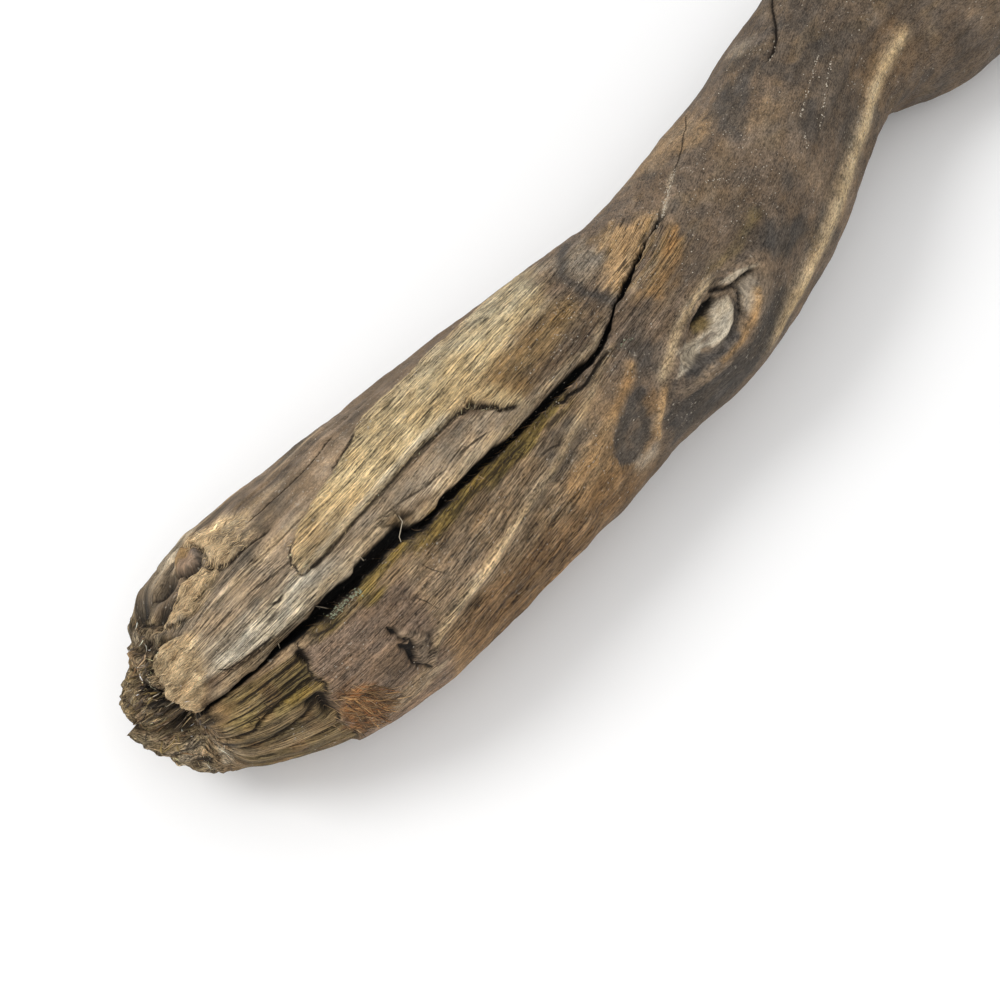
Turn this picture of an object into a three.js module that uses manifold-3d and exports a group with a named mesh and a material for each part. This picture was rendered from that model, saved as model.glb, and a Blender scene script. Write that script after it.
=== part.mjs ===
// A piece of driftwood: one length of a branch, bleached and worn, that lies on its side.
// One end is rotted blunt, the other is a worn break, and a knee turns the wood between them.
// A drying crack runs from the rotted end with the grain, and a knot sits in the flank beyond it.
// Millimetres. +X runs from the rotted end to the broken end, +Z is up, and z = 0 is the surface it lies on.
import * as THREE from 'three';
import { LoftGeometry } from 'three/addons/geometries/LoftGeometry.js';
import { mergeVertices } from 'three/addons/utils/BufferGeometryUtils.js';
import Module from 'manifold-3d';

const WOOD_COLOUR = 0x8a7763;
const RINGS = 58;            // sections between the two ends
const RING_POINTS = 54;      // points round each section
const REST_HEIGHT = 0;       // the belly is worn flat at this height
const CUT_CLEARANCE = 3;     // how far the crack's cutter stands out of the wood

// The pith and the half sizes of the wood round it. x = 0 is just inside the rim of the rotted end.
const stations = [
  { x: -1, y: 15.5, lift: 29, across: 19, upright: 18 },
  { x: 5, y: 16.5, lift: 31, across: 26, upright: 24 },
  { x: 14, y: 16.5, lift: 33, across: 31.5, upright: 29 },
  { x: 25, y: 15.5, lift: 34.5, across: 35.5, upright: 32.5 },
  { x: 37, y: 14, lift: 35.5, across: 39, upright: 35.5 },
  { x: 52, y: 12, lift: 36, across: 41, upright: 37 },
  { x: 74, y: 10.5, lift: 36.5, across: 41.5, upright: 37.5 },
  { x: 121, y: 12.5, lift: 35.5, across: 39.5, upright: 35 },
  { x: 173, y: 15, lift: 35, across: 36.5, upright: 33 },
  { x: 222, y: 18.5, lift: 34.5, across: 34.5, upright: 31.5 },
  { x: 250, y: 26.5, lift: 33, across: 33, upright: 30 },
  { x: 270, y: 34.5, lift: 31, across: 31, upright: 28 },
  { x: 295, y: 43, lift: 29.5, across: 29, upright: 27 },
  { x: 325, y: 48, lift: 29, across: 31.5, upright: 28.5 },
  { x: 358, y: 46.5, lift: 29, across: 33.5, upright: 30.5 },
  { x: 388, y: 41, lift: 28.5, across: 32, upright: 29 },
  { x: 414, y: 36, lift: 28, across: 28, upright: 25.5 },
  { x: 434, y: 32, lift: 27, across: 22, upright: 20 },
];

// Swellings (rise over 0) and hollows. angle runs from the top, 0, towards the knot's flank, 90.
const swells = [
  { at: 198, angle: 74, long: 20, wide: 34, rise: 4 },     // collar of wood round the knot
  { at: 146, angle: 104, long: 16, wide: 24, rise: 1.5 },
  { at: 284, angle: 72, long: 40, wide: 12, rise: 3 },     // rib along the outside of the knee
  { at: 304, angle: 106, long: 22, wide: 26, rise: -4.5 }, // crease inside the knee
  { at: 340, angle: 108, long: 18, wide: 30, rise: 4 },
  { at: 196, angle: -78, long: 18, wide: 34, rise: -2.5 }, // dip in the other flank
  { at: 272, angle: -74, long: 14, wide: 34, rise: -1.5 },
  { at: 120, angle: -34, long: 90, wide: 20, rise: 1.2 },
  { at: 392, angle: -60, long: 22, wide: 26, rise: 4 },
  { at: 370, angle: 150, long: 40, wide: 30, rise: 2 },
];

// Both ends close in over a few rings: the rotted one nearly flat, the broken one as a blunt cone.
const rottedEnd = [
  { scale: 0.12, along: -4.2 },
  { scale: 0.45, along: -4 },
  { scale: 0.75, along: -3.2 },
  { scale: 0.92, along: -1.8 },
];
const brokenEnd = [
  { scale: 0.8, along: 6 },
  { scale: 0.55, along: 10.5 },
  { scale: 0.25, along: 13 },
];

// The drying crack, from the rotted end to where it closes: its gape at the surface and its depth.
const crack = [
  { x: 15, angle: 30, gape: 1.6, depth: 4 },
  { x: 30, angle: 26, gape: 3.2, depth: 9 },
  { x: 60, angle: 21, gape: 6.5, depth: 13 },
  { x: 80, angle: 19, gape: 4.6, depth: 12 },
  { x: 110, angle: 19, gape: 3.2, depth: 11 },
  { x: 136, angle: 17, gape: 3.6, depth: 10 },
  { x: 150, angle: 16, gape: 3.6, depth: 9 },
  { x: 166, angle: 10, gape: 2.2, depth: 7 },
  { x: 182, angle: 2, gape: 2.4, depth: 6 },
  { x: 200, angle: -10, gape: 1.6, depth: 4 },
  { x: 212, angle: -15, gape: 0.8, depth: 2 },
];

// Hollows shaped like half an egg, with their middle clear of the surface and turned from the grain.
const hollows = [
  { x: 198, angle: 43, clear: 1.5, turn: -10, long: 21, wide: 9.5, deep: 6 },  // heart of the knot
  { x: 1, angle: 52, clear: -8, turn: 0, long: 9, wide: 12, deep: 5.5 },       // pocket in the rotted end
  { x: 5, angle: -52, clear: -6, turn: 0, long: 8, wide: 9, deep: 5 },
];

const spine = stationCurve('y', 'lift');
const girth = stationCurve('across', 'upright');

// A curve through the stations, with x and two of their other values.
function stationCurve(second, third) {
  const points = stations.map((s) => new THREE.Vector3(s.x, s[second], s[third]));
  return new THREE.CatmullRomCurve3(points, false, 'catmullrom', 0.5);
}

// The share of the curves at which they reach x.
function shareAt(x) {
  let low = 0;
  let high = 1;
  for (let step = 0; step < 24; step += 1) {
    const share = (low + high) / 2;
    if (spine.getPoint(share).x < x) low = share;
    else high = share;
  }
  return (low + high) / 2;
}

// The wood's section at x: its pith, the directions along, across and up from it, and its half sizes.
function sectionAt(x) {
  const share = shareAt(x);
  const forward = spine.getTangent(share);
  const flank = new THREE.Vector3().crossVectors(forward, new THREE.Vector3(0, 0, 1)).normalize();
  const crown = new THREE.Vector3().crossVectors(flank, forward);
  const size = girth.getPoint(share);
  return { x, pith: spine.getPoint(share), forward, flank, crown, across: size.y, upright: size.z };
}

function swelling(x, degrees) {
  return swells.reduce((sum, s) => {
    const turn = ((degrees - s.angle + 540) % 360) - 180;
    return sum + s.rise * Math.exp(-(((x - s.at) / s.long) ** 2) - (turn / s.wide) ** 2);
  }, 0);
}

// The point of a section at an angle, out from the surface by clear.
function pointOf(section, degrees, clear = 0, scale = 1) {
  const angle = THREE.MathUtils.degToRad(degrees);
  const rise = swelling(section.x, degrees) + clear;
  return section.pith.clone()
    .addScaledVector(section.flank, Math.sin(angle) * (section.across + rise) * scale)
    .addScaledVector(section.crown, Math.cos(angle) * (section.upright + rise) * scale);
}

// A closed ring of points at x, scaled and moved along for the ends, with the belly worn flat.
function ring(x, scale = 1, along = 0) {
  const section = sectionAt(x);
  const points = [];
  for (let i = 0; i < RING_POINTS; i += 1) {
    const point = pointOf(section, (i / RING_POINTS) * 360, 0, scale);
    point.addScaledVector(section.forward, along);
    point.z = Math.max(point.z, REST_HEIGHT);
    points.push(point);
  }
  return points;
}

function branch() {
  const first = stations[0].x;
  const last = stations[stations.length - 1].x;
  const sections = rottedEnd.map((end) => ring(first, end.scale, end.along));
  for (let i = 0; i < RINGS; i += 1) sections.push(ring(first + ((last - first) * i) / (RINGS - 1)));
  brokenEnd.forEach((end) => sections.push(ring(last, end.scale, end.along)));
  return new LoftGeometry(sections, { capStart: true, capEnd: true });
}

// A wedge that follows the crack, its edge down in the wood and its back clear of it.
function crackCutter() {
  const sections = crack.map((c) => {
    const section = sectionAt(c.x);
    const half = ((c.gape / 2) * (c.depth + CUT_CLEARANCE)) / c.depth;
    const turn = THREE.MathUtils.radToDeg(half / section.across);
    return [
      pointOf(section, c.angle + turn, CUT_CLEARANCE),
      pointOf(section, c.angle, -c.depth),
      pointOf(section, c.angle - turn, CUT_CLEARANCE),
    ];
  });
  return new LoftGeometry(sections, { capStart: true, capEnd: true });
}

function hollowCutter({ x, angle, clear, turn, long, wide, deep }) {
  const section = sectionAt(x);
  const centre = pointOf(section, angle, clear);
  const out = centre.clone().sub(section.pith).normalize();
  const side = new THREE.Vector3().crossVectors(out, section.forward).normalize();
  const along = new THREE.Vector3().crossVectors(side, out);
  const place = new THREE.Matrix4().makeBasis(along, side, out).setPosition(centre);
  return new THREE.SphereGeometry(1, 24, 14)
    .scale(long, wide, deep)
    .rotateZ(THREE.MathUtils.degToRad(turn))
    .applyMatrix4(place);
}

const wasm = await Module();
wasm.setup();

function toManifold(geometry) {
  const bare = new THREE.BufferGeometry();
  bare.setAttribute('position', geometry.attributes.position);
  bare.setIndex(geometry.index);
  const welded = mergeVertices(bare, 1e-4);
  return new wasm.Manifold(new wasm.Mesh({
    numProp: 3,
    vertProperties: welded.attributes.position.array,
    triVerts: new Uint32Array(welded.index.array),
  }));
}

function toGeometry(manifold) {
  const mesh = manifold.getMesh();
  const geometry = new THREE.BufferGeometry();
  geometry.setAttribute('position', new THREE.BufferAttribute(mesh.vertProperties, 3));
  geometry.setIndex(new THREE.BufferAttribute(mesh.triVerts, 1));
  geometry.computeVertexNormals();
  return geometry;
}

const cutters = [crackCutter(), ...hollows.map(hollowCutter)];
const cut = cutters.reduce((solid, cutter) => solid.subtract(toManifold(cutter)), toManifold(branch()));

const wood = toGeometry(cut);
wood.computeBoundingBox();
const middle = wood.boundingBox.getCenter(new THREE.Vector3());
wood.translate(-middle.x, -middle.y, -wood.boundingBox.min.z);

const driftwood = new THREE.Group();
const log = new THREE.Mesh(
  wood,
  new THREE.MeshStandardMaterial({ color: WOOD_COLOUR, roughness: 0.9, metalness: 0 }),
);
log.name = 'driftwood';
driftwood.add(log);

export default driftwood;
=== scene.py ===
import bpy
import math
import numpy as np
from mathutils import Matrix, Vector
from mathutils.bvhtree import BVHTree


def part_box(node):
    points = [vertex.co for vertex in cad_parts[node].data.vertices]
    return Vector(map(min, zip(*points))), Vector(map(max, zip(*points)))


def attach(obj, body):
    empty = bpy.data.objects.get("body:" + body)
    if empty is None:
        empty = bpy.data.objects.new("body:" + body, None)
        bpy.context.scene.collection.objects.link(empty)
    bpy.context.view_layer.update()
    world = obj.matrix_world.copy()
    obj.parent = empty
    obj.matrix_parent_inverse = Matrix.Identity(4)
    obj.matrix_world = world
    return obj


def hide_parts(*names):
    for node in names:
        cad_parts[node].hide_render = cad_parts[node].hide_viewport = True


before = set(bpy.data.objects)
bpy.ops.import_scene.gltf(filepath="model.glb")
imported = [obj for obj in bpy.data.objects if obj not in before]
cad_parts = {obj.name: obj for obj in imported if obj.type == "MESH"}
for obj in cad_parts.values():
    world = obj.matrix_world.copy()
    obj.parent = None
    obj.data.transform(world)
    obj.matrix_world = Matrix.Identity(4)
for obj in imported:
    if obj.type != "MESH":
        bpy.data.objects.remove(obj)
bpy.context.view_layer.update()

print("frame loaded")

mm = 0.001
weldDistance = 0.00002  # metres
lowCorner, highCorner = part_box("driftwood")
lowX = lowCorner[0] / mm
length = (highCorner[0] - lowCorner[0]) / mm


def linearOf(tones):
    # sRGB to the linear values that an attribute holds
    return np.where(tones < 0.04045, tones / 12.92, ((tones + 0.055) / 1.055) ** 2.4)


def withAlpha(tones):
    return np.concatenate([tones, np.ones(tones.shape[:-1] + (1,))], -1)


def selectOnly(piece):
    bpy.ops.object.select_all(action='DESELECT')
    piece.select_set(True)
    bpy.context.view_layer.objects.active = piece


def ease(x):
    x = np.clip(x, 0, 1)
    return x * x * (3 - 2 * x)


def over(field, start, fade):
    return ease((field - start) / fade)


def under(field, end, fade):
    return ease((end - field) / fade)


def bell(distance, width):
    return np.exp(-(distance / width) ** 2)


noisePrimes = np.array([73856093, 19349663, 83492791])
seedPrime, mixPrime, noiseBits = 9176131, 1274126177, 65535


def softNoise(points, seed):
    # smooth value noise from -1 to 1, one number a point, always the same for one seed
    cell = np.floor(points).astype(np.int64)
    f = ease(points - cell)
    total = np.zeros(points.shape[:-1])
    for corner in range(8):
        step = np.array([corner & 1, corner >> 1 & 1, corner >> 2 & 1])
        key = (cell + step) @ noisePrimes + seed * seedPrime
        key = (key ^ (key >> 13)) * mixPrime
        key = (key ^ (key >> 16)) & noiseBits
        total += np.where(step, f, 1 - f).prod(-1) * (2 * key / noiseBits - 1)
    return total


# the wood's own coordinates
# along: mm from the lowest x of the CAD box
# turn: degrees round the pith, 0 on top, 90 towards the knot's flank
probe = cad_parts["driftwood"].copy()  # a copy of the CAD solid to measure on
probe.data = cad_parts["driftwood"].data.copy()
probe.parent = None
bpy.context.scene.collection.objects.link(probe)
selectOnly(probe)
bpy.ops.object.mode_set(mode='EDIT')
bpy.ops.mesh.select_all(action='SELECT')
bpy.ops.mesh.remove_doubles(threshold=weldDistance)
bpy.ops.object.mode_set(mode='OBJECT')
corners = np.array([v.co[:] for v in probe.data.vertices]) / mm
edgeEnds = np.array([e.vertices[:] for e in probe.data.edges])
cadTree = BVHTree.FromPolygons([Vector(c) for c in corners], [p.vertices[:] for p in probe.data.polygons])
bpy.data.objects.remove(probe)


def sliceMiddle(x):
    # middle of the wood where a plane across X cuts it
    a, b = corners[edgeEnds[:, 0]], corners[edgeEnds[:, 1]]
    crossed = (a[:, 0] - x) * (b[:, 0] - x) < 0
    a, b = a[crossed], b[crossed]
    cuts = a + (b - a) * ((x - a[:, 0]) / (b[:, 0] - a[:, 0]))[:, None]
    return (cuts[:, 1:].min(0) + cuts[:, 1:].max(0)) / 2


sliceAt = np.linspace(16, length - 12, 72)
middles = np.array([sliceMiddle(lowX + s) for s in sliceAt])
for _ in range(3):
    middles[1:-1] = (middles[:-2] + 2 * middles[1:-1] + middles[2:]) / 4


def pithAt(s):
    return np.stack([lowX + s, np.interp(s, sliceAt, middles[:, 0]), np.interp(s, sliceAt, middles[:, 1])],
        -1)


def axesAt(s):
    s = np.clip(s, 22, length - 18)
    forward = pithAt(s + 5) - pithAt(s - 5)
    forward /= np.linalg.norm(forward, axis=-1, keepdims=True)
    flank = np.cross(forward, [0, 0, 1])
    flank /= np.linalg.norm(flank, axis=-1, keepdims=True)
    return forward, flank, np.cross(flank, forward)


# rows along the wood and columns round it
# The rotted end is a fan of rows from one point of the pith, so is the broken end.
fanStart, fanEnd = 26.0, length - 20.0
rottedFan = 90 * (1 - np.linspace(0, 1, 54, endpoint=False) ** 0.9)
bodyRows = np.concatenate([np.arange(fanStart, 60, 0.8), np.arange(60, 228, 0.95),
    np.arange(228, 330, 1.25), np.linspace(330, fanEnd, 42)])
brokenFan = np.linspace(0, 90, 19)[1:]
rowAlong = np.concatenate([np.full(rottedFan.size, fanStart), bodyRows, np.full(brokenFan.size, fanEnd)])
rowFan = np.concatenate([-rottedFan, np.zeros(bodyRows.size), brokenFan])
rows = rowAlong.size

crackStep, crackCols = 1.1, 4  # columns this side of the crack's middle lie inside it
gapReach = 24.0  # degrees from the crack's middle at which the columns are no longer shifted
nearTurns = np.arange(-88, 89) * crackStep
farTurns = np.linspace(nearTurns[-1], nearTurns[0] + 360, 50)
colTurn = np.concatenate([nearTurns, farTurns[1:]])  # the last column closes on the first
cols = colTurn.size

# the crack: along, turn of its upper lip, turn of its lower lip, depth
crack = np.array([(4, 44, 47, 0), (12, 39.5, 42.5, 3), (20, 35.2, 38.4, 5), (26, 32.2, 35.6, 6),
    (30, 30.9, 34.2, 7), (34, 29.7, 32.4, 8), (38, 28.4, 31.2, 9), (42, 27.2, 30.6, 10),
    (46, 25.9, 30.5, 10), (50, 24.9, 30.1, 10), (54, 24.2, 29.8, 10), (58, 21.6, 29.3, 11),
    (62, 19.9, 28.3, 11), (66, 19.6, 27.6, 11), (70.5, 19.8, 27.4, 11), (72, 17.1, 27.1, 11),
    (74, 16.3, 25.8, 10), (78, 15.7, 23.9, 10), (82, 15.1, 23.4, 9), (86, 13.7, 24.6, 9),
    (88.5, 13.6, 25, 8), (90, 19.5, 25, 8), (95, 21, 24.8, 8), (99, 21.4, 24.2, 8), (102, 18.6, 23.6, 8),
    (110, 18, 23, 8), (120, 17.3, 22.4, 8), (125, 16.8, 22.2, 8), (130, 18.2, 22, 8), (136, 18, 21.8, 8),
    (142, 16.6, 21.3, 8), (150, 14.8, 20.3, 8), (158, 14, 19.8, 8), (163, 13.6, 19.3, 7),
    (166, 16, 18.9, 6), (172, 13.8, 17, 5), (178, 9.4, 12.6, 5), (184.5, 2.8, 4.6, 4), (187, 0, 3.8, 5),
    (191, -4, 0.8, 5), (194, -6.6, -2.2, 5), (198, -9.4, -5.8, 4.5), (204, -13.6, -10.4, 4),
    (208, -15.6, -13, 3), (210, -16.2, -14.6, 2.5), (213, -17.6, -15, 2.5), (218, -18.6, -17.1, 1.5),
    (224, -20.6, -20, 0)])
# runs on over the ends as arc length
rowPlace = rowAlong + np.where(rowFan < 0, 30, 26) * np.radians(rowFan)
crackOpen = ease((rowPlace - 6) / 10) * ease((224 - rowPlace) / 10)
lipPlace = np.stack([rowPlace, rowPlace * 0, rowPlace * 0], -1)
# crumbling where it is widest
lipRough = 0.45 + 0.9 * bell(rowPlace - 78, 16) + 0.25 * ease((rowPlace - 160) / 12)
upperLip = (np.interp(rowPlace, crack[:, 0], crack[:, 1])
    + crackOpen * (0.4 * softNoise(lipPlace / 5, 3) + (0.35 + 0.4 * ease((rowPlace - 160) / 12))
    * softNoise(lipPlace / 1.8, 5)))
lowerLip = (np.interp(rowPlace, crack[:, 0], crack[:, 2]) + crackOpen * lipRough
    * (0.8 * softNoise(lipPlace / 4.5, 4) + 0.8 * softNoise(lipPlace / 1.7, 6)))
crackDepth = np.interp(rowPlace, crack[:, 0], crack[:, 3]) * crackOpen
shiftBack = np.interp(rowPlace, [224, 240, 270, 300, 440], [0, 10, 25, 35, 40])
crackMiddle = (upperLip + lowerLip) / 2 + shiftBack
gapHalf = (lowerLip - upperLip) / 2
gapHalf = gapHalf * crackOpen + crackCols * crackStep * (1 - crackOpen)


def spreadColumns(fromMiddle, half):
   # fromMiddle is a column's turn from the crack's middle: the columns of the gap are squeezed to its width
   
    edge, free = crackCols * crackStep, gapReach
    inner = fromMiddle / edge * half
    outer = np.sign(fromMiddle) * (half + (np.abs(fromMiddle) - edge) / (free - edge) * (free - half))
    squeezed = np.where(np.abs(fromMiddle) <= edge, inner, outer)
    return np.where(np.abs(fromMiddle) < free, squeezed, fromMiddle)


fromMiddle = np.repeat(colTurn[None, :], rows, 0)
turn = spreadColumns(fromMiddle, gapHalf[:, None]) + crackMiddle[:, None]
turn = (turn + 180) % 360 - 180
radians = np.radians(turn)
fan = np.radians(rowFan)[:, None]
along = rowPlace[:, None] + 0 * turn

pith = pithAt(rowAlong)[:, None, :]
forward, flank, crown = (a[:, None, :] for a in axesAt(rowAlong))
radial = np.sin(radians)[..., None] * flank + np.cos(radians)[..., None] * crown
outward = np.cos(fan)[..., None] * radial + np.sin(fan)[..., None] * forward

reach = np.zeros(turn.shape)
for i in range(rows):
    start = Vector(pith[i, 0])
    for j in range(cols):
        reach[i, j] = cadTree.ray_cast(start, Vector(outward[i, j]))[3] or 0

# the CAD's own groove and hollows are filled here: finer ones are carved below
crackPath = np.interp(along, [15, 33, 60, 80, 120, 160, 176, 192, 210, 222],
    [34, 29, 23, 20, 19.5, 16, 10, 1, -11, -16])
cadGroove = (np.abs(turn - crackPath) < 11) & (along > 12) & (along < 232)
cadKnot = ((along - 207) / 27) ** 2 + ((turn - 43) / 23) ** 2 < 1
for i in range(rows):
    hidden = cadGroove[i] | cadKnot[i]
    if hidden.any():
        order = np.argsort(turn[i])
        known = order[~hidden[order]]
        reach[i, hidden] = np.interp(turn[i, hidden], turn[i, known], reach[i, known], period=360)
endRows = rowFan < -8
for _ in range(60):  # the pockets of the rotted end are evened out too
    smooth = reach.copy()
    smooth[1:-1] = (reach[:-2] + 2 * reach[1:-1] + reach[2:]) / 4
    smooth = (np.roll(smooth, 1, 1) + 2 * smooth + np.roll(smooth, -1, 1)) / 4
    reach[endRows] = smooth[endRows]
for _ in range(14):
    reach[1:-1] = (reach[:-2] + 2 * reach[1:-1] + reach[2:]) / 4
    reach[:, :-1] = (np.roll(reach[:, :-1], 1, 1) + 2 * reach[:, :-1] + np.roll(reach[:, :-1], -1, 1)) / 4
    reach[:, -1] = reach[:, 0]
print("surface measured", rows, "rows", cols, "columns")

# the way of the grain
spread = 0.63  # mm of surface for a degree of turn
across = turn * spread
knotAlong, knotTurn = 207, 44
drift = 0.27 * (along - 60) + 0.3 * np.clip(along - 178, 0, 60) * under(turn, 30, 90) * over(turn, -150, 70)
grainTurn = turn + drift
knotX = (along - knotAlong) + 0.25 * (turn - knotTurn) * spread
knotY = (turn - knotTurn) * spread + 0.16 * (along - knotAlong)
knotR2 = (knotX / 21) ** 2 + (knotY / 12) ** 2
grainTurn = grainTurn - knotY / spread / (1 + knotR2 ** 1.5) * ease((knotR2 - 0.2) / 0.2)
grainRad = np.radians(grainTurn)
grain = np.stack([along, 37 * np.cos(grainRad), 37 * np.sin(grainRad)], -1)
lumpPlace = np.stack([along, 37 * np.cos(radians), 37 * np.sin(radians)], -1)


def streaks(longSize, wideSize, seed):
    return softNoise(grain / [longSize, wideSize, wideSize], seed)


def lumps(size, seed):
    return softNoise(lumpPlace / size, seed)


def spots(size, seed, least, fade):
    return ease((lumps(size, seed) - least) / fade)


def stripes(longSize, wideSize, seed, least, fade):
    return ease((streaks(longSize, wideSize, seed) - least) / fade)



def between(start, end, fade=4):
    return ease((along - start) / fade + 0.5) * ease((end - along) / fade + 0.5)


def offsetFrom(path):
    # mm to the side of a path of (along, turn), positive on the side of the larger turn
    path = np.array(path, float)
    return (turn - np.interp(along, path[:, 0], path[:, 1])) * spread


def lineOn(path, width, fade=5):
    # 1 on a path along the grain, 0 a width away
    return np.exp(-(offsetFrom(path) / width) ** 2) * between(path[0][0], path[-1][0], fade)


def toLine(path, closed=False):
    # mm to the nearest point of a path in any direction
    points = np.array(path, float) * [1, spread]
    nearest = np.full(along.shape, 1e9)
    for a, b in zip(points, np.roll(points, -1, 0)) if closed else zip(points[:-1], points[1:]):
        edge = b - a
        t = np.clip(((along - a[0]) * edge[0] + (across - a[1]) * edge[1]) / (edge @ edge), 0, 1)
        nearest = np.minimum(nearest, np.hypot(along - a[0] - t * edge[0], across - a[1] - t * edge[1]))
    return nearest


def near(path, width):
    return bell(toLine(path), width)


def insideOf(outline):
    # mm inside an outline, negative outside it
    points = np.array(outline, float) * [1, spread]
    inside = np.zeros(along.shape, bool)
    for a, b in zip(points, np.roll(points, -1, 0)):
        slope = (b[0] - a[0]) / (b[1] - a[1] + 1e-9)
        inside ^= ((a[1] > across) != (b[1] > across)) & (along < slope * (across - a[1]) + a[0])
    nearest = toLine(outline, closed=True)
    return np.where(inside, nearest, -nearest)


def patch(outline, fade, ragged=0, seed=1):
    return ease((insideOf(outline) + ragged * streaks(7, 1.6, seed)) / fade + 0.5)


# relief, in mm outwards
fineStreak = streaks(14, 0.9, 11)
midStreak = streaks(24, 2.0, 12)
wideStreak = streaks(45, 5, 13)
relief = 0.7 * lumps(24, 21) + 0.35 * lumps(9, 22)

# the raised skin: a rounded tongue with its torn edge over the plank
tongue = [(60, 7), (59.5, 0), (62, -6), (66, -11), (70, -14), (78, -20), (88, -26), (94, -30), (98, -33.5),
    (104, -37.5), (112, -41), (126, -45), (150, -53), (170, -70), (185, -95), (232, -70), (232, -15),
    (190, 8), (160, 22), (146, 22), (141, 12), (138.2, 8.8), (136.3, 7.2), (134.6, 5.5), (134.3, 3.2),
    (132.6, 1.5), (131.5, -0.5), (130, -3.5), (130.3, -6.5), (128.5, -7), (126, -6.3), (120, -5.9),
    (110, -5), (100, -2.8), (90, -0.5), (80, 2), (70, 5.5)]
tongueEdge = insideOf(tongue) + 0.6 * streaks(5, 1.4, 31) + 0.25 * lumps(1.3, 32)
raised = np.maximum(ease(tongueEdge / 0.7 + 0.5), over(along, 138, 20) * (turn > 0) + over(along, 170, 30))
relief += -1.1 * (1 - raised) * under(turn, 30, 4) * over(turn, -75, 10)
plankLine = [(63, 7.6), (70, 5.5), (80, 2), (90, -0.5), (100, -2.8), (110, -5), (120, -5.9), (126, -6.3)]
tornEdge = toLine([(126, -6.3), (128.5, -7), (130.3, -6.5), (130, -3.5), (131.5, -0.5), (132.6, 1.5),
    (134.3, 3.2), (134.6, 5.5), (136.3, 7.2), (138.2, 8.8)])
relief += -0.8 * lineOn(plankLine, 0.7) - 1.9 * bell(tornEdge, 1.2) * (1 - raised)
relief += 0.7 * bell(tornEdge, 2.2) * raised
relief += 0.5 * bell(tongueEdge - 1.2, 1.4) * between(56, 142)

plankRise = np.interp(along, [24, 50, 60, 64] + [p[0] for p in plankLine[1:]], [-22, -19, -2, 7]
    + [p[1] for p in plankLine[1:]])
plankLow = np.interp(along, [20, 34, 50, 66, 84, 88, 93, 99, 104],
    [21.5, 22.5, 21, 18.5, 13.6, 12, 12.5, 13.5, 16.5])
plankShare = np.clip((turn - plankRise) / (plankLow - plankRise), 0, 1)
plankHere = (1 - raised) * between(24, 139, 8) * (turn > plankRise)
relief += 1.3 * plankHere * ease(plankShare / 0.35) * (1 - 0.3 * ease((plankShare - 0.8) / 0.2))
brokenCorner = patch([(83.5, 12), (88, 11), (91, 12), (93, 15), (92, 20), (89.5, 20), (87, 15)], 1.2, 0.7,
    101)
relief -= 2.4 * brokenCorner
# wall boards below the plank
ledge = ease((turn - plankLow) / 1.2) * under(turn, 30, 3) * between(18, 52, 10)
relief -= 2.2 * ledge - 0.5 * ledge * streaks(30, 1.2, 33)

# lips and walls of the crack
toUpper = (turn - upperLip[:, None]) * spread
toLower = (turn - lowerLip[:, None]) * spread
openHere = crackOpen[:, None]
inGap = np.clip(fromMiddle / (crackCols * crackStep), -1, 1)
gapShape = np.interp(inGap, [-1, -0.75, -0.5, -0.25, 0, 0.25, 0.5, 0.75, 1],
    [0, 0.8, 1, 1, 1, 0.92, 0.7, 0.38, 0])
relief -= gapShape * crackDepth[:, None]
upperSide = (fromMiddle < 0) & (inGap <= -1 + 1e-6)
relief += (openHere * upperSide * 1.1 * bell(toUpper + 2.2, 2.4) * between(30, 164, 14)
    * (1 - between(84, 103, 5)))
# a lower board by the gap
lowBoard = ease((turn - plankLow) / 1.2) * between(86.5, 102, 3) * ease((-toUpper + 0.5) / 0.6)
relief -= 2.2 * lowBoard
relief += openHere * upperSide * -0.4 * bell(toUpper, 0.8)
lowerSide = (fromMiddle > 0) & (inGap >= 1 - 1e-6)
relief += openHere * lowerSide * -1.9 * bell(toLower, 3.4) * between(56, 158, 16)
secondCrack = [(149.5, 21.5), (152, 24), (154, 22.5), (157.5, 24.2), (159.5, 24.5), (162.5, 23.2),
    (167, 21), (172, 19.6)]
relief -= 1.6 * lineOn(secondCrack, 0.5)
hairline = [(218, -17.5), (225, -22), (229, -26), (233, -29.5), (240, -33.5), (247, -38.5), (258, -50),
    (266, -61)]
relief -= 0.35 * lineOn(hairline, 0.6)
farCrack = [(291, -24), (295, -24.5), (300, -27), (306, -34), (311, -43), (318, -55)]
relief -= 1.5 * lineOn(farCrack, 0.55)

# the lower flank: panel, flake, planks with deep grooves, ridges
panelEdge = [(48, 31), (47.6, 38.5), (46.2, 43.2), (46.4, 48), (47.4, 51.4), (47.6, 56), (46.2, 61.4),
    (46.4, 66), (47.3, 69), (46.4, 75), (48, 81), (50, 90), (50, 110)]
panelTurn, panelAlong = np.array(panelEdge)[:, 1], np.array(panelEdge)[:, 0]
beyondPanel = (np.interp(turn, panelTurn, panelAlong) + 0.8 * lumps(2, 41) + 0.5 * streaks(6, 1.2, 42)
    - along)
planks = ease(beyondPanel / 1.0 + 0.5) * over(turn, 33, 3) * under(turn, 135, 20)
relief -= 1.5 * planks
plankGrooves = ([(26, 42.5), (34, 40), (40, 38.8), (46, 37.3)], [(38, 45.5), (42, 44.4), (46, 43)],
    [(14, 68), (26, 62.6), (29.4, 57.3), (31.8, 55), (36.5, 51.5), (40.5, 50), (43.5, 48.5), (46.5, 48.5)],
    [(14, 79), (30, 72), (38, 66), (44, 61)], [(12, 94), (30, 86), (46, 79)],
    [(20, 52), (32, 47.5), (40, 45)], [(16, 60), (26, 55), (34, 50)])
for path, depth in zip(plankGrooves, (1.2, 1.0, 2.0, 1.8, 1.4, 0.8, 0.8)):
    relief -= depth * lineOn(path, 0.8) * ease(0.7 + 0.8 * streaks(9, 3, 43))
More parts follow.
